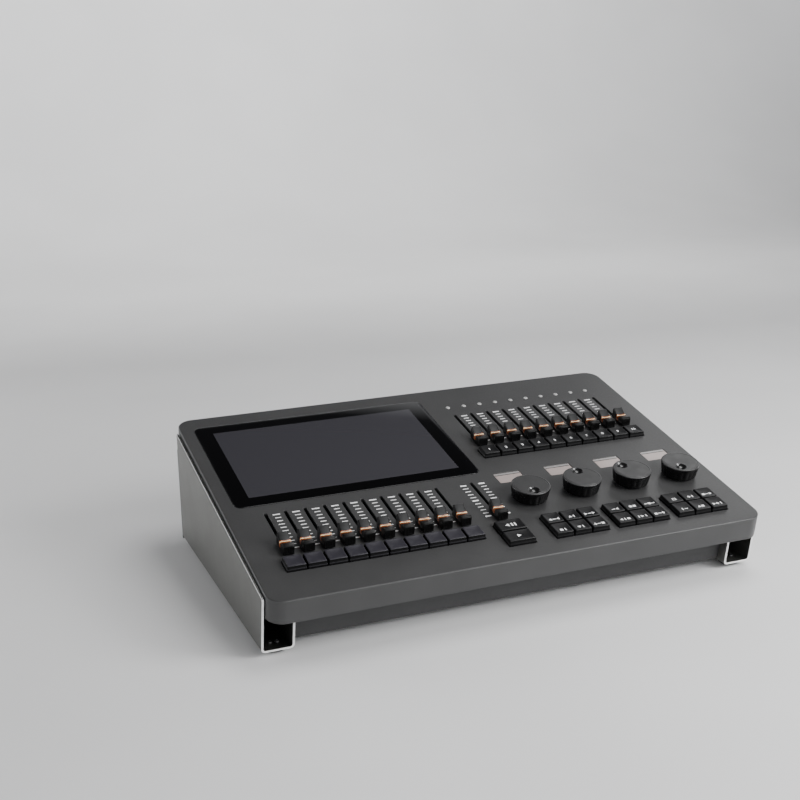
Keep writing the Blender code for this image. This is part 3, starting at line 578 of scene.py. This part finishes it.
def rail(node):
    """Bent sheet channel with smooth bends; its sheared ends and rounded edges get a near-white metal,
    partly bare cut edge and partly painted highlight.
    """
    bm = cad_shape(node)
    bm.normal_update()
    for face in bm.faces:
        sheared = abs(face.normal.x) < 0.3 and abs(face.normal.y) > 0.9
        face.material_index = 1 if sheared else 0
    piece = place(f"{node}_sheet", bm, [RAIL, BARE_EDGE_AND_HIGHLIGHT], smooth=40)
    # The bevel faces take the near-white metal: a painted highlight along every rounded edge.
    soften(piece, 0.4 * MM, 2, 50).modifiers["edges"].material = 1
    finish_piece(piece, "casework", "rail_metal", node)


# Screen


def screen():
    low, high = deck_box("touchscreen_glass")
    size = (high.x - low.x, high.y - low.y)
    bm = bmesh.new()
    edge, underside = 0.5 * MM, -1.7 * MM
    full = corners(size, (0, 0), GLASS_CORNER, 12)
    levels = [(full, underside), (full, GLASS_PROUD - edge)]
    for step in range(1, 5):
        angle = step / 4 * pi / 2
        inset = edge * (1 - cos(angle))
        outline = corners((size[0] - 2 * inset, size[1] - 2 * inset), (0, 0), GLASS_CORNER - inset, 12)
        levels.append((outline, GLASS_PROUD - edge + edge * sin(angle)))
    loft(bm, levels)
    middle = deck_middle("touchscreen_glass")
    piece = place("touchscreen_cover", bm, GLASS, at_deck(middle.x, middle.y))
    finish_piece(piece, "casework", "screen_glass", "touchscreen_glass")


# Keys


def key_cap(size):
    """Cap mesh with a skirt, rolled edges and a dished top; z = 0 on the panel."""
    roll, lean, dish, corner = 0.9 * MM, 0.5 * MM, 0.75 * MM, 1.0 * MM

    def inset(amount):
        radius = max(corner - 0.4 * amount, 0.3 * MM)
        return corners((size[0] - 2 * amount, size[1] - 2 * amount), (0, 0), radius, 4)

    levels = [(inset(0.1 * MM), -4 * MM), (inset(0), -3.8 * MM), (inset(0), 1.5 * MM),
              (inset(0.18 * MM), 1.7 * MM), (inset(lean), KEY_RISE - roll)]
    for step in range(1, 6):
        angle = step / 5 * pi / 2
        levels.append((inset(lean + roll * (1 - cos(angle))), KEY_RISE - roll * (1 - sin(angle))))
    rim = lean + roll
    for share in (0.93, 0.8, 0.62, 0.42, 0.2):
        inner = (share * (size[0] - 2 * rim), share * (size[1] - 2 * rim))
        outline = corners(inner, (0, 0), (0.1 + 0.35 * (1 - share)) * min(inner), 4)
        levels.append((outline, KEY_RISE - dish * (1 - share * share)))
    bm = bmesh.new()
    loft(bm, levels)
    bm.normal_update()
    # Upright faces take the second material: painted shade on the key's sides.
    for face in bm.faces:
        face.material_index = 1 if abs(face.normal.z) < 0.5 else 0
    return finished_mesh("key_cap", bm, [], 50)


def with_materials(mesh, *materials):
    copy = mesh.copy()
    for material in materials:
        copy.materials.append(material)
    return copy


def stem_mesh():
    """Square stem and round collar under a cap."""
    stem = corners((4 * MM, 4 * MM), (0, 0), 0.4 * MM, 2)
    collar = corners((7 * MM, 7 * MM), (0, 0), 2 * MM, 2)
    bm = bmesh.new()
    loft(bm, [(stem, -11.3 * MM), (stem, -4.6 * MM), (collar, -4.4 * MM), (collar, -4.05 * MM)])
    return finished_mesh("key_stem", bm, [KEY_DARK])


def key_places(node):
    """Centre of each key of a CAD group, from the group's extent and the pitch."""
    low, high = deck_box(node)
    middle = deck_middle(node)
    span = high.x - low.x
    count = round((span - KEY_SIZE) / PITCH) + 1 if span > 1.8 * KEY_SIZE else 1
    return [(middle.x + (i - (count - 1) / 2) * PITCH, middle.y) for i in range(count)]


# Marks printed on keys: digits, and plain signs in place of words


def digit_mesh(text, size):
    """Outline of a number as a thin mesh, centred on the origin."""
    curve = bpy.data.curves.new("digit", "FONT")
    curve.body = text
    curve.size = size
    curve.align_x = "CENTER"
    curve.align_y = "CENTER"
    curve.extrude = SKIN
    curve.offset = 0.14 * MM
    curve.resolution_u = 3
    holder = bpy.data.objects.new("digit", curve)
    bpy.context.scene.collection.objects.link(holder)
    bpy.context.view_layer.update()
    mesh = bpy.data.meshes.new_from_object(holder.evaluated_get(bpy.context.evaluated_depsgraph_get()))
    bpy.data.objects.remove(holder)
    bpy.data.curves.remove(curve)
    mesh.materials.clear()
    mesh.materials.append(WHITE_PRINT)
    return mesh


# Outlines in millimetres of the signs printed on keys
SYMBOLS = {
    "right": [[(-1.1, -1.4), (1.3, 0), (-1.1, 1.4)]],
    "left": [[(1.1, 1.4), (-1.3, 0), (1.1, -1.4)]],
    "up": [[(-1.5, -1.1), (1.5, -1.1), (0, 1.3)]],
    "down": [[(-1.5, 1.1), (0, -1.3), (1.5, 1.1)]],
    "stop": [[(-1.2, -1.2), (1.2, -1.2), (1.2, 1.2), (-1.2, 1.2)]],
    "bar": [[(-0.4, -1.4), (0.4, -1.4), (0.4, 1.4), (-0.4, 1.4)]],
    "line": [[(-1.4, -0.4), (1.4, -0.4), (1.4, 0.4), (-1.4, 0.4)]],
    "plus": [[(-1.4, -0.4), (-0.4, -0.4), (-0.4, -1.4), (0.4, -1.4), (0.4, -0.4), (1.4, -0.4), (1.4, 0.4),
              (0.4, 0.4), (0.4, 1.4), (-0.4, 1.4), (-0.4, 0.4), (-1.4, 0.4)]],
    "pause": [[(-1.5, -1.5), (-0.5, -1.5), (-0.5, 1.5), (-1.5, 1.5)],
              [(0.5, -1.5), (1.5, -1.5), (1.5, 1.5), (0.5, 1.5)]],
    "frame": [[(-1.5, -1.4), (1.5, -1.4), (1.5, -0.9), (-1.5, -0.9)],
              [(-1.5, 0.9), (1.5, 0.9), (1.5, 1.4), (-1.5, 1.4)],
              [(-1.5, -0.9), (-1.0, -0.9), (-1.0, 0.9), (-1.5, 0.9)],
              [(1.0, -0.9), (1.5, -0.9), (1.5, 0.9), (1.0, 0.9)]],
}


def symbols(*names, scale=1.0, spacing=3.3):
    """Plain signs in a row, which stand for a legend without spelling anything."""
    bm = bmesh.new()
    for index, name in enumerate(names):
        shift = (index - (len(names) - 1) / 2) * spacing
        for outline in SYMBOLS[name]:
            points = [((x * scale + shift) * MM, y * scale * MM) for x, y in outline]
            loft(bm, [(points, height) for height in (-SKIN, SKIN)])
    return finished_mesh("symbols", bm, [WHITE_PRINT])


PAD_LEGENDS = {
    "pad_1_rear_keys": (("left", "line", "left"), ("up", "bar"), ("right", "line", "right")),
    "pad_1_front_keys": (("stop", "bar"), ("down", "bar"), ("plus", "line", "stop")),
    "pad_2_rear_keys": (("line", "left"), ("stop", "stop"), ("line", "stop", "line")),
    "pad_2_front_keys": (("left", "bar", "stop"), ("bar", "right", "bar"), ("stop", "line", "plus")),
    "pad_3_rear_keys": (("frame",), ("plus", "bar"), ("stop", "line", "right")),
    "pad_3_front_keys": (("bar", "line"), ("up", "stop"), ("right", "plus", "bar")),
}
LEGEND_DROP = 3.3 * MM


def legend(mesh, name, group, x, s, w):
    piece = put(name, mesh, at_deck(x, s, w))
    finish_piece(piece, group, "print_white")


def keys():
    small = key_cap((KEY_SIZE, KEY_SIZE))
    low, high = deck_box("go_key")
    wide = key_cap((high.x - low.x, KEY_SIZE))
    stem = stem_mesh()
    small_by_finish = {"key_black": with_materials(small, KEY_DARK, KEY_SHADED_SIDE),
                       "key_violet_black": with_materials(small, KEY_SOFT, KEY_SHADED_SIDE)}
    wide_black = with_materials(wide, KEY_DARK, KEY_SHADED_SIDE)
    groups = [f"{bank}_flash_keys_{half}" for bank in FADER_BANKS for half in ("left", "right")]
    groups += [f"pad_{pad}_{row}_keys" for pad in (1, 2, 3) for row in ("rear", "front")]
    groups += ["pause_key", "go_key"]
    face_w = KEY_RISE - 0.6 * MM
    for group in groups:
        finish = "key_violet_black" if group.startswith("lower") else "key_black"
        for index, (x, s) in enumerate(key_places(group), 1):
            mesh = wide_black if group in ("pause_key", "go_key") else small_by_finish[finish]
            piece = put(f"{group}_cap_{index}", mesh, at_deck(x, s))
            finish_piece(piece, group, finish, *([group] if index == 1 else []))
            finish_piece(put(f"{group}_stem_{index}", stem, at_deck(x, s)), group, finish)
            if group.startswith("upper"):
                number = index + (5 if group.endswith("right") else 0)
                legend(digit_mesh(str(number), 5.2 * MM), f"flash_number_{number}", group, x, s, face_w)
            if group in PAD_LEGENDS:
                row = symbols(*PAD_LEGENDS[group][index - 1], scale=1.3, spacing=4.0)
                legend(row, f"{group}_legend_{index}", group, x, s - LEGEND_DROP, face_w + 0.3 * MM)
        web(group, finish)
    for group, names in (("pause_key", ("left", "pause")), ("go_key", ("right",))):
        x, s = key_places(group)[0]
        legend(symbols(*names, scale=1.7, spacing=6.5), f"{group}_symbol", group, x, s, face_w)


def web(group, finish):
    """Strip below the panel that joins the keys of a group."""
    places = key_places(group)
    if len(places) < 2:
        return
    bm = bmesh.new()
    span = places[-1][0] - places[0][0]
    loft(bm, [(corners((span, 9 * MM), (0, 0), 1 * MM, 3), height) for height in (-3.8 * MM, -2.4 * MM)])
    middle = deck_middle(group)
    piece = place(f"{group}_web", bm, KEY_DARK, at_deck(middle.x, middle.y))
    finish_piece(piece, group, finish)


# Faders

CAP_HALF = 5.25 * MM
CAP_END = 11 * MM


def cap_height(y):
    """Top of the fader cap along its length: two lips with a valley between them."""
    floor, front_lip, rear_lip = 8.3 * MM, 10.6 * MM, 13.0 * MM
    front, rear = -8.6 * MM, 9.6 * MM
    if y < front:
        return front_lip - 0.35 * (front - y)
    if y > rear:
        return rear_lip - 0.9 * (y - rear)
    if y < 0:
        return floor + (front_lip - floor) * (y / front) ** 1.5
    return floor + (rear_lip - floor) * (y / rear) ** 1.35


def fader_cap():
    """Body of the cap: chamfered sides, a valley across the top and finger flutes at both ends."""
    count, flutes, flute_pitch = 40, 6, 1.5 * MM
    shoulder, rounding = 1.0 * MM, 1.4 * MM
    bm = bmesh.new()
    rows = []
    for i in range(count + 1):
        y = CAP_END - 2 * CAP_END * i / count
        end = max(0.0, abs(y) - CAP_END + rounding)
        draw = 0.35 * MM * (end / rounding) ** 2
        top = cap_height(y) - draw
        half = CAP_HALF - draw
        rows.append([bm.verts.new(point) for point in (
            (-half + 0.3 * MM, y, 1 * MM), (-half, y, 1.6 * MM), (-half, y, top - shoulder),
            (-half + 0.3 * shoulder, y, top - 0.3 * shoulder), (-half + shoulder, y, top),
            (half - shoulder, y, top), (half - 0.3 * shoulder, y, top - 0.3 * shoulder),
            (half, y, top - shoulder), (half, y, 1.6 * MM), (half - 0.3 * MM, y, 1 * MM))])
    for near, far in zip(rows, rows[1:]):
        bridge(bm, near, far)
    bm.faces.new(rows[0][::-1])
    bm.faces.new(rows[-1])
    for y in (-CAP_END, CAP_END):
        grooves = bmesh.new()
        for flute in range(flutes):
            x = (flute - (flutes - 1) / 2) * flute_pitch
            loft(grooves, [(circle(0.32 * MM, (x, y), 8), height) for height in (2.4 * MM, 7.6 * MM)])
        bm = cut(bm, grooves)
    # Upward faces of the rear slope take the lighter copy: painted sheen.
    for face in bm.faces:
        middle = face.calc_center_median()
        if face.normal.z > 0.5 and middle.y > 1.4 * MM and abs(middle.x) < CAP_HALF - 0.9 * MM:
            face.material_index = 1
    return finished_mesh("fader_cap", bm, [CAP, CAP_SHEEN_TOP], 38)


def fader_band(back, front, proud, depth, material):
    """Inlay that follows the valley in a slight bow and wraps down both sides of the cap."""
    half, shoulder, wall, bow = CAP_HALF + proud, 1.0 * MM, 0.6 * MM, 0.9 * MM
    across = [(-half, depth), (-half, shoulder), (-half + 0.3 * shoulder, 0.3 * shoulder)]
    across += [(share * (half - shoulder), 0) for share in (-1, -0.66, -0.33, 0, 0.33, 0.66, 1)]
    across += [(half - 0.3 * shoulder, 0.3 * shoulder), (half, shoulder), (half, depth)]
    across += [(half - wall, depth), (half - 2 * wall, 1.5 * shoulder)]
    across += [(-half + 2 * wall, 1.5 * shoulder), (-half + wall, depth)]
    bm = bmesh.new()
    rows = []
    for i in range(7):
        y = front + (back - front) * i / 6
        row = []
        for x, drop in across:
            bowed = y + bow * (x / half) ** 2
            row.append(bm.verts.new((x, bowed, cap_height(bowed) + proud - drop)))
        rows.append(row)
    for near, far in zip(rows, rows[1:]):
        bridge(bm, near, far)
    bm.faces.new(rows[0][::-1])
    bm.faces.new(rows[-1])
    return finished_mesh("fader_band", bm, [material], 40)


def tongue_mesh():
    """Blade that carries the cap through its slot."""
    bm = bmesh.new()
    size = (1.6 * MM, 5 * MM)
    loft(bm, [(corners(size, (0, 0), 0.4 * MM, 3), height) for height in (-10 * MM, 1.5 * MM)])
    return finished_mesh("fader_tongue", bm, [BLACK_STEEL])


def faders():
    cap = fader_cap()
    copper = fader_band(1.3 * MM, -3.0 * MM, 0.05 * MM, 5.0 * MM, COPPER)
    # Narrow pale strip along the band's middle: painted highlight.
    highlight_band = fader_band(0.2 * MM, -0.9 * MM, 0.12 * MM, 1.3 * MM, HIGHLIGHT_STRIPE)
    tongue = tongue_mesh()
    for name in FADERS:
        middle = deck_middle(name)
        spot = at_deck(middle.x, middle.y)
        body = soften(put(f"{name}_cap", cap, spot), 0.2 * MM, 2, 50)
        finish_piece(body, name, "fader_plastic", name)
        finish_piece(put(f"{name}_inlay", copper, spot), name, "stripe_orange")
        finish_piece(put(f"{name}_painted_highlight", highlight_band, spot), name, "stripe_orange")
        finish_piece(put(f"{name}_tongue", tongue, spot), name, "fader_plastic")


# Encoder wheels


def wheel_mesh():
    """Wheel at the origin with its dimple towards +X and shallow finger flutes."""
    radius, foot_radius = 19.3 * MM, 17.6 * MM
    top, foot = 15.5 * MM, 2 * MM
    ball_radius, ball_depth, ball_reach = 7.4 * MM, 3.1 * MM, 11.3 * MM
    dish = sqrt(2 * ball_radius * ball_depth - ball_depth ** 2) + 0.2 * MM
    sides, flutes, edge = 144, 18, 1.1 * MM

    def wavy(base, depth):
        points = []
        for i in range(sides):
            angle = 2 * pi * i / sides
            dip = depth * (0.5 - 0.5 * cos(flutes * angle)) ** 2
            points.append(((base - dip) * cos(angle), (base - dip) * sin(angle)))
        return points

    bm = bmesh.new()
    levels = [(circle(3 * MM, sides=sides), -11 * MM), (circle(3 * MM, sides=sides), foot - 0.1 * MM),
              (circle(foot_radius - 1.2 * MM, sides=sides), foot),
              (wavy(foot_radius - 0.4 * MM, 0), foot + 0.15 * MM),
              (wavy(foot_radius, 0.2 * MM), foot + 0.6 * MM)]
    for step in range(1, 9):
        share = step / 8
        height = foot + 0.6 * MM + share * (top - 2.6 * MM - foot - 0.6 * MM)
        depth = 0.55 * MM * sin(pi * min(1, 0.15 + 0.8 * share)) + 0.05 * MM
        levels.append((wavy(foot_radius + share * (radius - foot_radius), depth), height))
    levels.append((circle(radius, sides=sides), top - 1.5 * MM))
    for step in range(1, 6):
        angle = step / 5 * pi / 2
        inset, drop = edge * (1 - cos(angle)), edge * (1 - sin(angle))
        levels.append((circle(radius - inset, sides=sides), top - drop))
    for inset, drop in ((1.6 * MM, 0), (1.85 * MM, 0.2 * MM), (2.2 * MM, 0.2 * MM), (2.4 * MM, 0.02 * MM)):
        levels.append((circle(radius - inset, sides=sides), top - drop))
    loft(bm, levels)
    ball = bmesh.new()
    bmesh.ops.create_uvsphere(ball, u_segments=48, v_segments=32, radius=ball_radius)
    bmesh.ops.translate(ball, verts=ball.verts, vec=(ball_reach, 0, top + ball_radius - ball_depth))
    bm = cut(bm, ball)
    for face in bm.faces:
        middle = face.calc_center_median()
        reach = sqrt(middle.x ** 2 + middle.y ** 2)
        in_dish = sqrt((middle.x - ball_reach) ** 2 + middle.y ** 2) < dish and middle.z < top - 0.05 * MM
        if in_dish and middle.z > top - ball_depth - 0.1 * MM and face.normal.z > 0.2:
            face.material_index = 2
        # Sides and foot take the near-black copy: painted shade.
        elif reach > radius - 2.0 * MM and middle.z < top - 0.9 * MM or middle.z < foot + 0.5 * MM:
            face.material_index = 1
    return finished_mesh("encoder_wheel", bm, [WHEEL_TOP, WHEEL_SHADED_SIDE, DIMPLE], 36)


# Where each wheel's dimple points at rest, in degrees from the deck's x axis
DIMPLE_ANGLES = (260, 89, 126, 240)


def wheels():
    mesh = wheel_mesh()
    for name, angle in zip(WHEELS, DIMPLE_ANGLES):
        middle = deck_middle(name)
        piece = put(f"{name}_knob", mesh, at_deck(middle.x, middle.y, 0, radians(angle)))
        soften(piece, 0.25 * MM, 3, 34)
        finish_piece(piece, name, "wheel_black", name)


# Windows, lamps and printed scales


def windows():
    """Film windows with a clear strip and a dark line along the far edge."""
    size = (WINDOW_SIZE[0] - 0.6 * MM, WINDOW_SIZE[1] - 0.6 * MM)
    full = corners(size, (0, 0), 0.7 * MM, 3)
    eased = corners((size[0] - 0.4 * MM, size[1] - 0.4 * MM), (0, 0), 0.5 * MM, 3)
    strips = (("edge", 3.0 * MM, 1.9 * MM, FILM_EDGE), ("line", 0.9 * MM, 3.9 * MM, CAP))
    for index, (x, s) in enumerate(window_places(), 1):
        bm = bmesh.new()
        loft(bm, [(full, -1.9 * MM), (full, -0.55 * MM), (eased, -0.4 * MM)])
        piece = place(f"display_window_{index}", bm, FILM, at_deck(x, s))
        finish_piece(piece, "casework", "window_film", *(["display_window_strip"] if index == 1 else []))
        for part, width, inset, material in strips:
            strip = bmesh.new()
            loft(strip, [(corners((size[0] - 0.8 * MM, width), (0, 0), 0.2 * MM, 2), height)
                         for height in (-0.42 * MM, -0.36 * MM)])
            spot = at_deck(x, s + size[1] / 2 - inset)
            piece = place(f"display_window_{part}_{index}", strip, material, spot)
            finish_piece(piece, "casework", "window_film")
    low, high = deck_box("display_window_strip")
    bm = bmesh.new()
    size = (high.x - low.x, high.y - low.y)
    loft(bm, [(corners(size, (0, 0), 2 * MM, 4), height) for height in (-3.8 * MM, -2.3 * MM)])
    middle = (low + high) / 2
    back = place("display_window_carrier", bm, FILM, at_deck(middle.x, middle.y))
    finish_piece(back, "casework", "window_film")


def lamps():
    bm = bmesh.new()
    for x, s in lamp_places():
        dome = [(LAMP_RADIUS, -4 * MM), (LAMP_RADIUS, 0.1 * MM)]
        for step in range(1, 6):
            angle = step / 5 * pi / 2
            dome.append((LAMP_RADIUS * cos(angle), 0.1 * MM + 0.8 * MM * sin(angle)))
        turned(bm, dome, (x, s), 24)
    piece = place("lamp_domes", bm, LAMP, DECK)
    finish_piece(piece, "casework", "lamp_diffuser", "lamp_light_bar")
    low, high = deck_box("lamp_light_bar")
    bar = bmesh.new()
    loft(bar, [(corners((high.x - low.x, high.y - low.y), (0, 0), 1 * MM, 3), height)
               for height in (-6 * MM, -4 * MM)])
    middle = (low + high) / 2
    finish_piece(place("lamp_bar", bar, LAMP, at_deck(middle.x, middle.y)), "casework", "lamp_diffuser")


MARK_STEP = 5.9 * MM
MARK_COUNT = 11


def mark_column(bm, x, top, bold, bold_size):
    """Eleven printed marks beside a fader slot, some of them bold."""
    for i in range(MARK_COUNT):
        size = bold_size if i in bold else (5.8 * MM, 1.2 * MM)
        outline = corners(size, (x, top - i * MARK_STEP), 0.15 * MM, 2)
        loft(bm, [(outline, height) for height in (-SKIN, SKIN)])


def scales():
    bm = bmesh.new()
    for bank in FADER_BANKS:
        for i in range(1, 10):
            x = deck_middle(f"{bank}_fader_{i}").x + PITCH / 2
            rest = deck_middle(f"{bank}_fader_{i}").y
            mark_column(bm, x, rest + FADER_TRAVEL - 0.5 * MM, (0, 10), (7.4 * MM, 1.8 * MM))
    master = deck_middle("master_fader")
    for side in (-1, 1):
        x = master.x + side * 9.8 * MM
        mark_column(bm, x, master.y + FADER_TRAVEL - 0.5 * MM, (0, 5, 10), (6.4 * MM, 2.2 * MM))
    piece = place("fader_scales", bm, WHITE_PRINT, DECK)
    finish_piece(piece, "casework", "print_white")


# Screws and the rear face


def screw_mesh(radius, material):
    """Pan head with a cross recess, standing on z = 0."""
    bm = bmesh.new()
    profile = [(radius * 0.96, 0), (radius, 0.25 * MM), (radius, 0.8 * MM)]
    for step in range(1, 6):
        angle = step / 5 * pi / 2
        profile.append((radius - 1.1 * MM + 1.1 * MM * cos(angle), 0.8 * MM + 1.0 * MM * sin(angle)))
    profile.append((0.2 * MM, 1.95 * MM))
    turned(bm, profile, sides=28)
    for angle in (0, pi / 2):
        arm = bmesh.new()
        loft(arm, [(corners((0.5 * radius, 0.5 * MM), (0, 0), 0.1 * MM, 1), 0.9 * MM),
                   (corners((1.1 * radius, 0.8 * MM), (0, 0), 0.2 * MM, 1), 2.4 * MM)])
        bmesh.ops.rotate(arm, verts=arm.verts, cent=(0, 0, 0), matrix=Matrix.Rotation(angle, 3, "Z"))
        bm = cut(bm, arm)
    return finished_mesh("screw", bm, [material])


def screws():
    case_screw = screw_mesh(3.0 * MM, STEEL)
    foot_screw = screw_mesh(2.3 * MM, BLACK_STEEL)

    def fix(name, mesh, spot, axis, turn):
        upright = Vector((0, 0, 1)).rotation_difference(axis).to_matrix().to_4x4()
        matrix = Matrix.Translation(spot) @ upright @ Matrix.Rotation(turn, 4, "Z")
        finish_piece(put(name, mesh, matrix), "casework", "screw_steel")

    for end in ("front", "rear"):
        for side in ("left", "right"):
            low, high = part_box(f"{end}_{side}_foot")
            rail_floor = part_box(f"{side}_side_rail")[0].z + 2.02 * MM
            for index, offset in enumerate((-3.2 * MM, 3.2 * MM), 1):
                spot = Vector(((low.x + high.x) / 2 + offset, (low.y + high.y) / 2, rail_floor))
                fix(f"foot_screw_{end}_{side}_{index}", foot_screw, spot, Vector((0, 0, 1)), 0.7 * index)
    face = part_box("rear_panel")[1].y + 0.01 * MM
    half_places = ((214 * MM, 26 * MM), (214 * MM, 90 * MM), (150 * MM, 100 * MM))
    places = [(side * x, z) for side in (-1, 1) for x, z in half_places]
    for index, (x, z) in enumerate(places, 1):
        fix(f"rear_screw_{index}", case_screw, Vector((x, face, z)), Vector((0, 1, 0)), 0.5 * index)
    low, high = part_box("bottom_tray")
    spots = [(side * x, y) for side in (-1, 1) for x in (60 * MM, 205 * MM)
             for y in (low.y + 40 * MM, high.y - 18 * MM)]
    for index, (x, y) in enumerate(spots, 1):
        spot = Vector((x, y, low.z - 0.01 * MM))
        fix(f"tray_screw_{index}", case_screw, spot, Vector((0, 0, -1)), 0.9 * index)


def main_board():
    """The board's solder resist, with plated socket shells along the rear."""
    low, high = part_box("main_board")
    board_thick, socket_depth = 1.6 * MM, 20 * MM
    bm = cad_shape("main_board")
    for face in bm.faces:
        middle = face.calc_center_median()
        if middle.z > low.z + board_thick + 0.2 * MM:
            face.material_index = 1 if middle.y > high.y - socket_depth else 2
    piece = place("main_board_assembly", bm, [BOARD, STEEL, SOCKET])
    soften(piece, 0.12 * MM, 2)
    finish_piece(piece, "casework", "board_laminate", "main_board")


def rear_and_underside():
    refined("rear_panel", "rear_plate", CHASSIS, "chassis_paint", 0.25 * MM)
    refined("bottom_tray", "tray_sheet", CHASSIS, "chassis_paint", 0.3 * MM)
    refined("screen_bracket", "screen_pan", CHASSIS, "chassis_paint", 0.3 * MM)
    refined("power_inlet", "power_inlet_shell", SOCKET, "socket_plastic", 0.3 * MM)
    refined("power_switch_housing", "switch_housing_shell", SOCKET, "socket_plastic", 0.3 * MM)
    refined("power_switch", "power_rocker", KEY_DARK, "key_black", 0.35 * MM, 3)
    for number in (1, 2):
        refined(f"dmx_output_{number}", f"dmx_socket_{number}", SOCKET, "socket_plastic", 0.2 * MM)
    for end in ("front", "rear"):
        for side in ("left", "right"):
            refined(f"{end}_{side}_foot", f"{end}_{side}_foot_pad", RUBBER, "foot_rubber", 0.4 * MM, 3)
    main_board()


def inner_parts():
    """Hidden CAD nodes keep their shape and get a finish of their own."""
    finishes = {"display_module": SHEET, "power_supply": SHEET, "left_control_board": BOARD,
                "right_control_board": BOARD}
    for name, material in finishes.items():
        mesh = frame["nodes"][name].data
        mesh.materials.clear()
        mesh.materials.append(material)


# Stage


def stage():
    """Pale floor that sweeps up behind the desk."""
    reach, back, bend, height = 4.0, 2.8, 1.0, 1.0
    profile = [(-reach, 0.0)]
    for step in range(13):
        angle = step / 12 * pi / 2
        profile.append((back - bend + bend * sin(angle), bend - bend * cos(angle)))
    profile.append((back, height))
    bm = bmesh.new()
    rows = [[bm.verts.new((x, y, z - 0.2 * MM)) for x in (-reach, reach)] for y, z in profile]
    for near, far in zip(rows, rows[1:]):
        bm.faces.new((near[0], near[1], far[1], far[0]))
    nodes = Nodes("studio_floor", (0.82, 0.82, 0.82), 0.7)
    nodes.colour(nodes.ramp(nodes.noise(3.0, 2.0), (0.80, 0.80, 0.80), (0.84, 0.84, 0.84)))
    place("studio_floor", bm, nodes.material)


def area_light(name, spot, target, size, power):
    light = bpy.data.lights.new(name, "AREA")
    light.shape = "RECTANGLE"
    light.size, light.size_y = size
    light.energy = power
    made = bpy.data.objects.new(name, light)
    made.location = spot
    made.rotation_euler = (Vector(target) - Vector(spot)).to_track_quat("-Z", "Y").to_euler()
    bpy.context.scene.collection.objects.link(made)


def world():
    """Pale horizon under a dark ceiling, so that the glass stays black."""
    made = bpy.data.worlds.new("studio")
    made.use_nodes = True
    tree = made.node_tree
    place_node = tree.nodes.new("ShaderNodeTexCoord")
    split = tree.nodes.new("ShaderNodeSeparateXYZ")
    ramp = tree.nodes.new("ShaderNodeValToRGB")
    ramp.color_ramp.elements[0].position = 0.30
    ramp.color_ramp.elements[0].color = (0.80, 0.81, 0.83, 1)
    ramp.color_ramp.elements[1].position = 0.52
    ramp.color_ramp.elements[1].color = (0.025, 0.025, 0.027, 1)
    tree.links.new(place_node.outputs["Generated"], split.inputs["Vector"])
    tree.links.new(split.outputs["Z"], ramp.inputs["Fac"])
    tree.nodes["Background"].inputs["Strength"].default_value = 1.6
    tree.links.new(ramp.outputs["Color"], tree.nodes["Background"].inputs["Color"])
    bpy.context.scene.world = made


def lights():
    world()
    area_light("key_light", (1.0, -0.95, 0.85), (0.05, 0, 0.05), (0.7, 0.7), 24)
    area_light("front_fill", (0.35, -1.9, 1.0), (0.1, 0, 0.05), (1.2, 0.8), 12)
    area_light("overhead", (0.5, 0.0, 1.6), (0.1, 0, 0.05), (1.0, 0.8), 13)
    area_light("rear_right_light", (1.35, 1.05, 1.25), (0.15, 0, 0.1), (0.6, 0.6), 2.0)
    area_light("backdrop_light", (0.4, 1.3, 1.0), (0.6, 2.9, 0.35), (2.4, 0.5), 22)
    area_light("rail_light", (-1.4, 0.9, 0.6), (-0.25, 0.1, 0.05), (0.8, 0.6), 6)


CAMERA_SPOT = (-515.0 * MM, -1161.4 * MM, 511.0 * MM)
CAMERA_TURN = (74.838, 0.595, -23.337)
CAMERA_LENS = 59.55
CAMERA_SHIFT = (-0.0522, -0.0035)


def camera():
    data = bpy.data.cameras.new("camera")
    data.lens = CAMERA_LENS
    data.sensor_width = 36
    data.shift_x, data.shift_y = CAMERA_SHIFT
    made = bpy.data.objects.new("camera", data)
    made.location = CAMERA_SPOT
    made.rotation_euler = [radians(angle) for angle in CAMERA_TURN]
    bpy.context.scene.collection.objects.link(made)
    bpy.context.scene.camera = made


camera()
hood()
rail("left_side_rail")
rail("right_side_rail")
screen()
keys()
faders()
wheels()
windows()
lamps()
scales()
screws()
rear_and_underside()
inner_parts()
stage()
lights()
